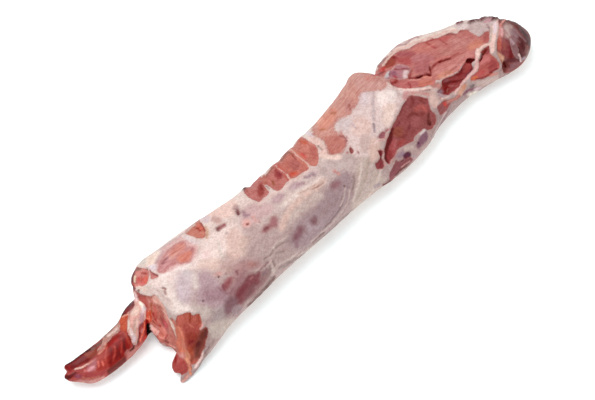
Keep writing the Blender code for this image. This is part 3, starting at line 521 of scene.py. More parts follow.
BODY_MARKS = (
    cover("cream ridge", (244, 224, 216), 3.5, (150, 284), (168, 270), (195, 258), (206, 240), (222, 226),
        (240, 226), (236, 240), (222, 256), (200, 266), (172, 282)),
    cover("white of the ridge", (254, 238, 232), 2.5, (160, 274), (172, 266), (192, 261), (190, 267),
        (172, 273), (163, 279)),
    cover("pink of the ridge", (252, 225, 221), 2.5, (202, 252), (208, 250), (210, 256), (203, 258)),
    cover("peach of the ridge", (230, 200, 190), 3.5, (228, 232), (238, 228), (246, 240), (244, 252),
        (236, 262), (229, 256), (226, 244)),
    cover("tan of the ridge", (221, 193, 181), 3, (241, 240), (250, 236), (252, 248), (246, 256), (240, 252)),
    smear("grey streak of the ridge", (224, 210, 200), 2.6, (218, 242), (220, 252), (224, 262)),
    cover("warm haze", (234, 206, 194), 4, (198, 264), (212, 258), (222, 262), (214, 270), (202, 270)),
    cover("rosy haze", (204, 174, 168), 4, (220, 262), (232, 258), (238, 266), (228, 274), (220, 270)),
    cover("pale lilac skin", (213, 194, 198), 6, (177, 276), (186, 271), (192, 280), (191, 300), (183, 306),
        (175, 296)),
    cover("grey by the lilac skin", (216, 202, 202), 2, (183, 271), (192, 271), (193, 277), (186, 277)),
    cover("lilac skin", (189, 162, 166), 6, (196, 276), (206, 270), (220, 282), (230, 296), (228, 308),
        (210, 309), (199, 304), (195, 290)),
    cover("mauve skin", (172, 138, 145), 4.5, (205, 290), (215, 288), (223, 291), (227, 298), (220, 301),
        (209, 301), (203, 296)),
    cover("light gap", (228, 212, 206), 3.4, (192, 276), (197, 276), (199, 288), (194, 290)),
    cover("cream over the cut", (242, 226, 218), 4.5, (160, 280), (172, 284), (178, 300), (190, 306),
        (198, 310), (190, 313), (174, 312), (168, 300)),
    cover("grey over the patch", (204, 188, 180), 4, (192, 306), (206, 306), (212, 312), (204, 318),
        (196, 312)),
    cover("grey near flank", (176, 159, 157), 4.5, (211, 318), (214, 310), (226, 306), (228, 314), (224, 323),
        (213, 323)),
    cover("olive near flank", (198, 182, 172), 3, (209, 326), (216, 322), (228, 320), (234, 320), (226, 332),
        (214, 338), (209, 334)),
    cover("mauve middle", (190, 166, 163), 6, (250, 240), (262, 232), (280, 238), (284, 254), (264, 264),
        (252, 262), (246, 252)),
    cover("rose middle", (181, 142, 140), 6, (232, 270), (242, 260), (256, 260), (262, 266), (250, 272),
        (240, 281), (233, 282)),
    smear("rust of the middle", (178, 130, 124), 4, (250, 264), (253, 264)),
    # Painted shade along the near rim, where the flank turns away from the light.
    cover("near rim of the middle", (158, 122, 121), 2.5, (257, 284), (262, 274), (268, 270), (270, 276),
        (262, 287), (252, 298), (249, 297)),
    cover("first bruise", (158, 96, 100), 2.8, (221.4, 286), (224, 283), (226, 280), (229, 277),
        (232.6, 277.6), (232.4, 282), (231, 286), (228, 289.6), (224.6, 290.4), (221.6, 289)),
    smear("dark side of the first bruise", (142, 88, 94), 2.6, (223, 285.6), (224.4, 289.6)),
    smear("smear of the first bruise", (160, 122, 128), 3, (219, 288), (224, 293), (230, 293)),
    cover("great bruise", (136, 82, 86), 2.8, (233.4, 298), (234, 291), (237, 288), (240, 285), (243, 280),
        (247, 275.4), (250, 273.4), (256, 273), (259, 271), (261.4, 273), (260.4, 279), (259, 284),
        (255, 287), (254, 291), (250, 294.6), (246, 299.6), (243, 304.4), (237, 305.4), (234, 303)),
    cover("dark core of the bruise", (128, 67, 73), 2.4, (237, 292), (241, 286.6), (246, 284), (245, 290),
        (240, 297), (236, 298)),
    smear("light of the bruise", (160, 106, 108), 2.2, (250.6, 279), (252.6, 277)),
    cover("mauve between the bruises", (159, 118, 122), 4, (228, 291), (234, 283), (240, 275), (246, 271),
        (243, 281), (237, 290), (232, 298)),
    cover("near side of the bruise", (134, 90, 93), 2.4, (250, 286), (256, 284), (253, 292), (246, 299),
        (244, 300), (247, 292)),
    cover("foot of the bruise", (138, 102, 107), 3.4, (225, 300), (231, 296), (238, 300), (237, 308),
        (231, 314), (225.6, 314.6), (223.6, 307)),
    cover("near side of the foot", (164, 140, 142), 2, (234, 307), (243, 306), (240, 313), (233, 316)),
    # Painted shade: the dark line where the near flank turns away at its edge.
    smear("dark line of the near rim", (124, 97, 93), 3.6, (274, 277.6), (268.4, 284.6), (262.4, 291.4),
        (256.4, 297.8), (249.4, 305.8)),
    smear("mauve before the folds", (150, 120, 122), 4, (263, 275), (267, 271)),
    # The dark strokes among these folds are painted shade in the creases of the wrinkles.
    stroke("dark of the folds", "groove", (150, 128, 122), 2, (269.6, 266), (270.6, 271), (268.6, 276)),
    stroke("second dark of the folds", "groove", (152, 130, 124), 2.2, (272, 261.4), (275.4, 266)),
    stroke("white fold of the near rim", "fold", (202, 181, 174), 2.2, (272.6, 274), (276, 268), (279.4, 264),
        (285, 261), (291, 257.6), (297, 252.6)),
    stroke("second white fold", "fold", (208, 188, 181), 1.8, (270.6, 262), (272.4, 267), (272, 271)),
    stroke("third white fold", "fold", (204, 178, 172), 1.8, (255, 271), (262, 268), (268, 264.4),
        (271, 261)),
    smear("dark beside the third fold", (150, 118, 118), 2, (261, 269), (265, 265.4), (268, 262)),
    stroke("fourth white fold", "fold", (210, 192, 182), 1.6, (272, 253), (275, 245), (281, 240.6),
        (288, 236.6)),
    stroke("fifth white fold", "fold", (184, 160, 156), 1.6, (262, 262), (270, 258), (279, 257), (286, 252),
        (293, 247)),
    # Painted shade in three more creases.
    stroke("first dark fold", "groove", (160, 139, 133), 1.6, (275.6, 248), (283, 243.6), (291, 240.4)),
    stroke("second dark fold", "groove", (160, 139, 133), 2.2, (277, 253.4), (284, 251.6)),
    stroke("third dark fold", "groove", (156, 133, 127), 1.6, (264, 259), (271, 254.6), (273, 250)),
    stroke("vessel", "cut", (166, 124, 120), 2, (162.6, 287.4), (165, 288.6), (164.6, 291), (166, 294)),
    stroke("groove of the vessel", "groove", (212, 190, 184), 2, (157, 289), (163, 296), (170, 301)),
    stroke("dot in the lilac skin", "cut", (106, 76, 84), 2.2, (203.3, 300.8)),
    smear("blush round the third dot", (214, 168, 162), 3.4, (215.4, 275.6), (218.4, 272.6), (221, 274)),
    stroke("third dot", "cut", (118, 80, 78), 2, (219, 276.8)),
    smear("fourth dot", (158, 112, 112), 2.2, (226, 274)),
    smear("fifth dot", (150, 102, 106), 3, (236.6, 271.6), (238, 274)),
    cover("rosy fat", (214, 182, 180), 3.5, (242, 210), (256, 203), (272, 204), (272, 212), (258, 222),
        (250, 232), (243, 228)),
    smear("lilac flecks", (176, 142, 152), 2.4, (244, 215.6), (250, 214.6)),
    smear("blush of the rosy fat", (228, 178, 168), 3.6, (253, 217), (256, 221)),
    smear("dot of the rosy fat", (176, 118, 118), 2.2, (259.4, 222)),
    cover("grey of the middle", (197, 172, 167), 3, (246, 228), (258, 226), (262, 234), (254, 240),
        (246, 236)),
    cover("third bruise", (169, 119, 120), 2.6, (261.4, 231), (263, 227.6), (266, 225), (269, 222.4),
        (270.6, 218), (273.4, 216), (277.4, 217.6), (278.6, 223), (276.6, 227), (272, 228.6), (269, 230.6),
        (266, 232.8), (262.4, 232.8)),
    smear("dark of the third bruise", (134, 78, 82), 3, (264.4, 230), (267, 228)),
    cover("great mauve skin", (170, 146, 148), 6, (288, 244), (290, 232), (298, 220), (310, 210), (322, 196),
        (333, 178), (343, 168), (351, 172), (352, 186), (346, 206), (334, 223), (318, 238), (302, 249)),
    cover("grey top of the mauve", (204, 184, 180), 4, (320, 170), (328, 161), (340, 154), (352, 158),
        (354, 172), (346, 171), (336, 177), (326, 186)),
    cover("pale haze", (203, 183, 175), 4, (284, 214), (298, 202), (318, 191), (322, 198), (306, 209),
        (292, 222)),
    cover("lilac side of the mauve", (182, 160, 164), 3, (306, 226), (318, 214), (324, 222), (312, 234)),
    cover("fourth bruise", (140, 100, 106), 2.8, (293, 236), (296, 230.6), (299, 227), (302.6, 226),
        (304.2, 230), (302.6, 234), (300, 237.6), (297, 241.4), (293.4, 240.4)),
    smear("smear of the fourth bruise", (156, 122, 130), 3.4, (296.6, 241), (297, 246)),
    cover("fifth bruise", (138, 102, 106), 2.8, (310.4, 220.4), (312, 217.6), (315, 215.6), (317.4, 218),
        (319.4, 221), (317, 224), (313.4, 225.6), (311, 223.6)),
    cover("sixth bruise", (152, 112, 116), 3, (332, 188.8), (331, 185.4), (333, 182.2), (336.4, 180.6),
        (340, 181.8), (340.6, 185), (338, 187.8), (334.6, 190)),
    smear("dark dot of the side", (120, 84, 80), 2.4, (344.4, 186)),
    smear("red fleck of the side", (208, 152, 146), 3.2, (334, 170.6), (339, 173.4)),
    smear("mauve line of the side", (168, 142, 142), 2.2, (330, 206), (322, 214), (318, 224)),
    # Painted shade along the near rim of the side, where the flank turns away from the light.
    smear("near rim of the side", (156, 136, 133), 3.4, (280, 268), (296, 258.6), (312, 247), (330, 232),
        (345, 218), (360, 205)),
    stroke("pale fold of the side", "fold", (200, 178, 172), 1.5, (349.6, 190), (348, 200), (344.6, 207),
        (340, 213.6), (333, 222), (326, 229), (318, 236), (311, 241.6)),
    # Painted shade in a crease.
    stroke("dark inner fold of the side", "groove", (140, 118, 118), 1.3, (343, 196), (341, 206), (335, 216),
        (326, 226.4)),
    stroke("second pale fold", "fold", (206, 184, 178), 1.3, (345.6, 188), (343.6, 198), (340, 206)),
    # Painted shade in a crease.
    stroke("dark crease of the side", "groove", (134, 113, 110), 1.5, (324, 232.6), (318, 237.6),
        (312.6, 242)),
    stroke("third pale fold", "fold", (204, 184, 176), 1.5, (322, 240), (308, 249), (296, 257)),
    # Painted shade in a crease.
    stroke("dark crease under the cap", "groove", (146, 127, 122), 1.5, (353.6, 176), (354.8, 182),
        (352.4, 190)),
    cover("pale side", (200, 180, 170), 3, (357, 164), (366, 150), (373, 160), (378, 172), (386, 180),
        (376, 194), (360, 208), (352, 208), (356, 188)),
    stroke("white strand", "fold", (197, 176, 170), 2.6, (375, 152), (371.6, 170), (363, 197)),
    smear("olive strand", (188, 168, 158), 3.2, (368.4, 160), (366, 176), (357.6, 199)),
    stroke("second white strand", "fold", (216, 198, 189), 2, (362, 158), (360.4, 176), (353, 201)),
    stroke("third white strand", "fold", (214, 194, 184), 2, (383, 164), (378, 180), (369, 196)),
)

BLOCK_MARKS = (
    lean("first block", (196, 120, 114), -40, (244.6, 192), (249, 186.4), (252, 182.6), (255, 178.6),
        (259.6, 177), (263.2, 177.6), (263.6, 182), (264.2, 186), (266.4, 189), (269.4, 192.2),
        (266.6, 195.4), (263.6, 198), (261.6, 200.6), (258.6, 202), (255.6, 200.8), (252, 199.2),
        (248.2, 197.4), (246, 195)),
    tint("dark side of the first block", (158, 72, 68), 2, (257.6, 185), (260.6, 182), (262.8, 185),
        (264.4, 190), (262.4, 195), (257.4, 195)),
    streak("darkest of the first block", (138, 54, 50), 2.4, (260.6, 185.6), (261, 188.4)),
    lean("second block", (197, 119, 111), -42, (263.4, 178.4), (266, 174.4), (269, 170), (271, 166.4),
        (274, 164.6), (277.6, 167), (281.4, 170.8), (285.4, 174.4), (288.4, 178), (288.8, 180.6),
        (286.2, 182.4), (284.2, 185.4), (281.6, 188.4), (278, 190.6), (274.4, 190), (271, 187.4), (268, 185),
        (265, 183.6), (263.8, 181.4)),
    streak("brown rim of the second block", (168, 96, 84), 2.2, (265, 176.6), (269, 171.4), (273, 166.6)),
    tint("dark side of the second block", (164, 74, 74), 1.6, (273.6, 168.4), (277.4, 168.6), (282, 173),
        (281, 178), (277, 179), (274.6, 174)),
    streak("darkest of the second block", (146, 56, 62), 2.6, (278.4, 172.6), (280, 174.6)),
    streak("brown of the second block", (164, 92, 70), 2.8, (272.6, 181), (274, 183)),
    lean("third block", (200, 118, 106), -42, (276, 164.2), (278.6, 160.8), (281, 158), (283, 154.8),
        (285, 151.6), (287.4, 149.8), (290.4, 151.4), (293.6, 153.8), (297.2, 156.6), (301, 159.6),
        (305, 162.8), (308.6, 166.6), (307.8, 169.6), (304.4, 171.4), (301.2, 173.2), (298, 176),
        (294, 178.4), (291.2, 177.6), (288.6, 174.6), (284.2, 171), (279.4, 167.4)),
    streak("brown rim of the third block", (156, 92, 78), 2, (280.6, 160), (284.6, 154.6), (288.4, 151.6),
        (292, 154.4)),
    tint("rose of the third block", (181, 102, 96), 1.8, (289, 161), (295, 158.6), (300, 163.4), (297, 169),
        (290.4, 167)),
    streak("dark line of the third block", (162, 78, 70), 1.6, (291.6, 154.4), (296, 158.6)),
    streak("red foot of the third block", (212, 88, 68), 3.4, (291, 174), (296, 172.4)),
    lean("fourth block", (204, 125, 112), -44, (292.2, 148), (294.8, 144.8), (297, 141.6), (299, 138.4),
        (301.6, 136.8), (305.2, 138.6), (309, 140.8), (313, 143.2), (316.2, 146.6), (317.8, 151),
        (318.4, 156), (318.4, 161), (317.2, 165.2), (314, 166.2), (311, 165.4), (307.6, 162.2),
        (302.8, 158.4), (298, 154.6), (294.2, 151.2)),
    streak("orange top of the fourth block", (202, 94, 70), 3.2, (300.4, 140.6), (305, 142.4)),
    streak("red fleck of the fourth block", (218, 94, 88), 3, (302, 153.4), (304.6, 156.6)),
    tint("rose side of the fourth block", (190, 106, 98), 1.8, (311, 146), (315.4, 148), (317, 155),
        (315, 160), (311, 156)),
    lean("muscle between the first blocks", (190, 114, 102), -42, (261.4, 177), (265, 174.6), (268, 184.6),
        (265, 186), (263, 183)),
    lean("muscle between the middle blocks", (197, 102, 92), -42, (273, 165.6), (277.4, 162.4), (284, 169.6),
        (291.6, 176.6), (288.4, 180), (281, 172)),
    lean("muscle between the last blocks", (210, 127, 110), -42, (289.4, 150.6), (293, 147), (300, 154),
        (311, 165), (307.4, 167.4), (297, 157.6)),
    fat("fat before the second block", (236, 216, 208), (264.6, 184.8), (268, 185.2), (271, 187.8),
        (274.4, 190.4), (277, 192), (272.4, 193), (269.4, 192), (266.6, 189)),
    smear("grey fleck in that fat", (164, 130, 126), 1.9, (265.8, 186), (269, 188.6)),
    stroke("sinew before the third block", "fat", (226, 152, 138), 1.1, (275, 165.6), (279.2, 168.6),
        (284, 172.2), (287.4, 175)),
    stroke("end of that sinew", "fat", (242, 196, 180), 1.7, (287.4, 175), (290.6, 180)),
    stroke("sinew before the fourth block", "fat", (236, 180, 164), 1.2, (290.8, 149.4), (294.2, 152.4),
        (298.4, 155.6), (303, 159.6), (305.6, 162)),
    stroke("end of the second sinew", "fat", (246, 204, 190), 1.9, (305, 161.4), (309.4, 166.2)),
    smear("fat along the blocks", (231, 204, 196), 3, (258, 204), (265, 199.4), (272, 195), (281, 191),
        (288, 184), (296, 180), (304, 173.6), (311, 169.4)),
    cover("lilac strip", (199, 169, 171), 1.8, (270, 202), (274, 196.4), (280, 193.4), (285, 194), (282, 201),
        (276, 203)),
    cover("second lilac strip", (202, 174, 176), 1.8, (288, 188), (293, 183.6), (300, 181.4), (304, 183.6),
        (300, 187.4), (292, 190)),
    smear("dark of the second strip", (182, 148, 154), 2.4, (297, 185), (303, 184)),
    cover("third lilac strip", (208, 184, 184), 1.6, (303, 178), (309, 172), (315, 170), (319, 171),
        (315, 176), (308, 179)),
    smear("dark of the third strip", (172, 146, 150), 2.6, (305, 177.6), (309, 176.6), (312, 174),
        (314.6, 175.4)),
    cover("cream before the fascia", (236, 218, 209), 2.5, (282, 206), (288, 196), (300, 189), (312, 182),
        (322, 176), (322, 180), (304, 192), (290, 204)),
    stroke("peach fascia", "fold", (225, 194, 182), 6, (282, 228), (285.4, 218), (291, 208.4), (301, 199),
        (312, 190), (324, 181)),
    # Painted shade in the fascia's fold.
    stroke("fold of the fascia", "groove", (168, 126, 112), 1.3, (313, 189.2), (318, 186.2), (323.4, 183)),
    smear("upper fold of the fascia", (204, 166, 150), 1.2, (298, 194), (308, 188.6), (316, 184)),
)

CAP_MARKS = (
    cover("fat sheet of the cap", (231, 209, 204), 2.5, (336, 124), (350, 114), (358, 98), (372, 91),
        (388, 88), (402, 88), (405, 94), (399, 106), (392, 120), (383, 130), (376, 140), (370, 154),
        (356, 156), (346, 146), (342, 134)),
    cover("far corner of the sheet", (228, 209, 209), 2.4, (359, 94), (368, 92), (369, 104), (361, 106)),
    cover("white of the sheet", (254, 238, 232), 2.2, (377, 93), (386, 91), (396, 92), (394, 104), (384, 108),
        (378, 104)),
    cover("cream of the sheet", (243, 218, 207), 2.5, (384, 106), (395, 104), (394, 116), (388, 126),
        (383, 122)),
    cover("near part of the sheet", (233, 204, 195), 3, (353, 119), (370, 119), (370, 134), (354, 136)),
    cover("grey near part", (211, 186, 179), 2.5, (360, 136), (370, 135), (370, 150), (361, 151)),
    cover("cream near part", (222, 190, 178), 2.5, (371, 140), (380, 141), (378, 158), (370, 160)),
    cover("white corner by the cap", (224, 207, 205), 2.4, (337, 120), (345, 118), (352, 122), (348, 130),
        (337, 131)),
    smear("grey streak", (202, 182, 182), 3, (372.6, 92), (373.4, 106), (373.6, 120)),
    smear("dark end of the streak", (164, 145, 150), 2.4, (373.6, 124), (374.6, 132)),
    smear("lilac streak", (206, 183, 183), 2.2, (352, 124), (356, 128)),
    smear("pale strand of the sheet", (246, 216, 210), 2, (374, 144), (378, 140.6), (383, 139.4)),
    lean("cap muscle", (212, 152, 140), 48, (313, 135), (312, 126), (313, 119), (317, 114), (322, 108),
        (327, 102), (332, 98), (337, 91), (342, 84), (347, 77), (350, 72), (355, 69), (361, 68), (366, 69),
        (369, 72), (377, 75), (386, 76), (390, 80), (388, 84), (386, 87), (383, 89), (379, 90), (375, 91),
        (365, 91), (361, 93), (359, 96), (358, 101), (356, 106), (352, 110), (351, 114), (345, 116),
        (340, 119), (335, 124), (334, 130), (338, 133), (342, 132), (344, 135), (347, 138), (347, 143),
        (346, 147), (343, 150), (341, 153), (335, 154), (329, 154), (327, 150), (326, 145), (323, 141),
        (319, 138), blur=2.6),
    tint("far top of the cap", (211, 156, 147), 2.4, (354, 76), (361, 73), (372, 76), (386, 80), (385, 88),
        (374, 90), (360, 90), (355, 84)),
    streak("rose of the far top", (210, 138, 128), 4, (366, 77), (374, 78)),
    tint("rose of the cap", (202, 141, 133), 2, (344, 100), (352, 99), (355, 105), (350, 111), (345, 110)),
    streak("dark of the cap", (174, 108, 100), 2.2, (349, 104), (350.6, 109)),
    tint("warm far part", (222, 148, 130), 2.4, (317, 124), (322, 116), (331, 107), (336, 110), (334, 120),
        (326, 128), (319, 130)),
    streak("bright of the far part", (240, 170, 150), 2.8, (318.6, 122), (322, 118)),
    streak("brown of the far part", (190, 120, 96), 2.4, (331, 113), (335, 112)),
    streak("brown streak of the cap", (198, 128, 100), 2, (319, 129), (325, 129)),
    tint("brown foot of the cap", (199, 126, 115), 1.8, (325, 136), (336, 135), (346, 138), (346, 147),
        (340, 153), (329, 154), (326, 146)),
    streak("dark top of the foot", (164, 94, 90), 2.2, (340, 135.6), (345, 137)),
    streak("dark side of the foot", (160, 94, 97), 2.2, (346, 138), (346, 146)),
    cover("cream by the cap's foot", (240, 206, 196), 1.8, (309, 136), (318, 139), (325, 148), (327, 155),
        (320, 156), (318, 148), (311, 141)),
    cover("cream under the cap's foot", (248, 221, 208), 1.6, (320, 154), (330, 155.4), (341, 154.4),
        (340, 159), (326, 159)),
    smear("pale lilac at the rim", (240, 225, 232), 3.4, (308, 133), (312, 136)),
    smear("dark streak by the cap", (160, 138, 134), 1.8, (318, 146), (322, 150)),
    smear("red bit under the foot", (180, 116, 112), 2.2, (347.2, 152.4)),
    lean("dark red bit", (148, 78, 74), 0, (349.6, 148.6), (350.6, 146), (353.6, 151), (350.4, 153.6)),
    smear("second grey bit", (164, 120, 115), 1.8, (357.6, 151.6), (358.6, 153)),
)

DARK_MUSCLE_MARKS = (
    smear("white line over the muscle", (246, 230, 222), 2, (400, 88.6), (410, 89.2), (420, 89.4), (430, 88)),
    smear("mauve under the white line", (170, 131, 126), 2.2, (420, 90.4), (430, 90)),
    smear("pink flesh over the muscle", (212, 156, 149), 3.6, (405, 93.8), (416, 93.4), (428, 94)),
    cover("rosy corner of the flesh", (214, 162, 160), 1.4, (403, 92), (408, 92), (408, 99), (403, 100)),
    lean("dark muscle", (151, 81, 80), -18, (407, 99), (409, 96), (414, 95.5), (420, 97), (424, 98),
        (428, 98), (428.5, 101), (429.5, 106), (431, 110), (434, 113), (436, 117), (436, 122), (434, 126),
        (432, 129), (428, 130), (424, 129), (421, 131), (418, 134), (415, 137), (413, 141), (409, 143),
        (406, 145), (402, 147), (398, 149), (396, 153), (394, 157), (391, 160), (389, 164), (386, 163),
        (384, 158), (383.5, 152), (385, 147), (386, 142), (388, 137), (390, 132), (391, 128), (394, 123),
        (397, 118), (399, 113), (401, 108), (404, 103)),
    tint("deep far edge of the muscle", (102, 28, 33), 1.3, (392.4, 127), (395, 130), (393.4, 138),
        (390.6, 146), (388.6, 154), (388, 163), (384, 163), (383, 152), (386.4, 143), (388.6, 134)),
    streak("first dark strand of the muscle", (134, 63, 62), 3.2, (404.6, 101), (401.6, 108), (399, 114)),
    streak("second dark strand of the muscle", (129, 57, 55), 2.8, (412, 97.6), (414, 101), (411, 106)),
    streak("third dark strand of the muscle", (132, 62, 58), 2.8, (408.6, 117), (413, 113.6), (421, 114.6),
        (424, 112)),
    streak("fourth dark strand of the muscle", (134, 62, 60), 3, (399, 137), (405, 136.6), (407, 131)),
    streak("fifth dark strand of the muscle", (132, 62, 66), 2.8, (397, 127), (399.6, 122)),
    streak("sixth dark strand of the muscle", (130, 59, 63), 3, (409.6, 128), (411, 123.6)),
    streak("seventh dark strand of the muscle", (136, 66, 62), 3, (420.6, 97.6), (422, 101.6)),
    streak("bright corner of the muscle", (178, 90, 85), 4.6, (416.6, 108.6), (422, 106.4), (425.6, 109)),
    tint("rose of the muscle", (164, 91, 91), 2, (412, 118), (419, 117), (420, 125), (413, 127)),
    tint("brown of the muscle", (150, 80, 68), 2, (395, 128), (403, 127), (402, 136), (395, 136)),
    streak("red of the muscle", (166, 76, 74), 4, (400, 144), (404, 141)),
    tint("rosy band of the muscle", (166, 81, 82), 1.3, (392, 141), (397, 140), (397, 150), (392, 156),
        (390, 150)),
    streak("light of the rosy band", (182, 102, 102), 1.8, (396.6, 140), (395, 148)),
    tint("foot of the muscle", (150, 64, 64), 1.4, (388, 151), (392, 150), (392, 157), (388, 161)),
    streak("dark side of the muscle", (108, 48, 44), 2.6, (429, 114), (429.4, 124)),
    streak("darkest of the side of the muscle", (88, 33, 24), 2.2, (430.6, 121.6), (430.6, 124.4)),
    lean("small muscle", (160, 98, 104), 40, (378, 137), (380, 134), (383, 131), (385, 132), (385, 135),
        (384, 138), (380, 138.5)),
    smear("rose beside the small muscle", (186, 112, 116), 2.4, (386, 130.6), (390, 128.6)),
    stroke("sinew of the small muscle", "fat", (206, 162, 156), 1.8, (379, 140.8), (385, 138.8),
        (387.6, 134)),
    lean("short strip", (140, 66, 69), 80, (377.5, 151), (381, 150), (383, 151), (382, 156), (382.5, 160),
        (384, 163), (383, 168), (378, 169), (376, 167), (375, 164), (378, 161), (380, 158), (379, 154)),
    streak("dark of the short strip", (108, 38, 43), 2.6, (380.6, 152), (380.8, 158)),
    stroke("sinew between the strips", "fat", (206, 156, 151), 1.6, (383.7, 150), (384, 160), (385, 166)),
    fat("gristle", (186, 158, 154), (396, 153), (399, 149.6), (403, 148.4), (408, 146), (414, 142),
        (419, 136.6), (424, 131.4), (431, 130), (437, 126.4), (436, 136), (427, 150), (416, 158), (405, 165),
        (396, 161)),
    smear("cream of the gristle", (208, 188, 178), 3.8, (406, 148.6), (412, 147)),
    smear("pink line of the gristle", (184, 144, 138), 2, (396, 152), (394, 158), (391, 164)),
    cover("rosy gristle", (186, 160, 160), 1.4, (408, 156), (414, 154), (417, 158), (411, 162)),
    smear("lilac by the first gland", (156, 130, 142), 5, (398, 156), (402.6, 154)),
    cover("first gland", (98, 56, 72), 1.2, (402.6, 157), (404, 153.6), (407, 151.6), (410.8, 153),
        (410, 157.4), (405, 159)),
    smear("red under the first gland", (122, 52, 60), 3, (401, 161.6), (407.6, 158.4)),
    cover("second gland", (140, 100, 114), 1.2, (416.5, 146), (418, 141), (421, 137), (423, 133), (426, 131),
        (428, 134), (427, 139), (424, 143), (421, 147), (418, 149)),
    smear("dark of the second gland", (84, 44, 63), 2.8, (418.2, 143.4)),
    smear("pale over the second gland", (222, 206, 202), 2.4, (424, 130), (421, 134)),
    smear("third gland", (92, 18, 36), 3, (396, 162)),
    lean("near strip", (141, 80, 84), 38, (390, 180), (390.4, 173), (393, 166), (395, 162), (398, 161),
        (402, 162), (406, 159), (410, 157.6), (413, 160), (408, 166), (402, 171), (396, 176.4)),
    streak("brown edge of the near strip", (112, 62, 58), 2.4, (396, 176), (402, 171), (409, 165)),
    stroke("pale edge of the near strip", "fat", (214, 150, 144), 1.2, (402, 167.4), (405.6, 164.4),
        (410, 161.4)),
    smear("thread along the rim", (118, 74, 74), 3, (383, 184.6), (387, 182.6), (392, 179)),
    smear("lilac end of the rim", (170, 150, 155), 3.2, (375, 187), (379, 184)),
    # Painted shade in the crease by the chump.
    stroke("dark line by the chump", "groove", (150, 130, 130), 1.4, (432, 139), (438, 128), (442, 122),
        (445, 117)),
    stroke("pale line by the chump", "fold", (231, 216, 211), 1.8, (434, 134), (437.6, 127), (440.6, 122)),
)

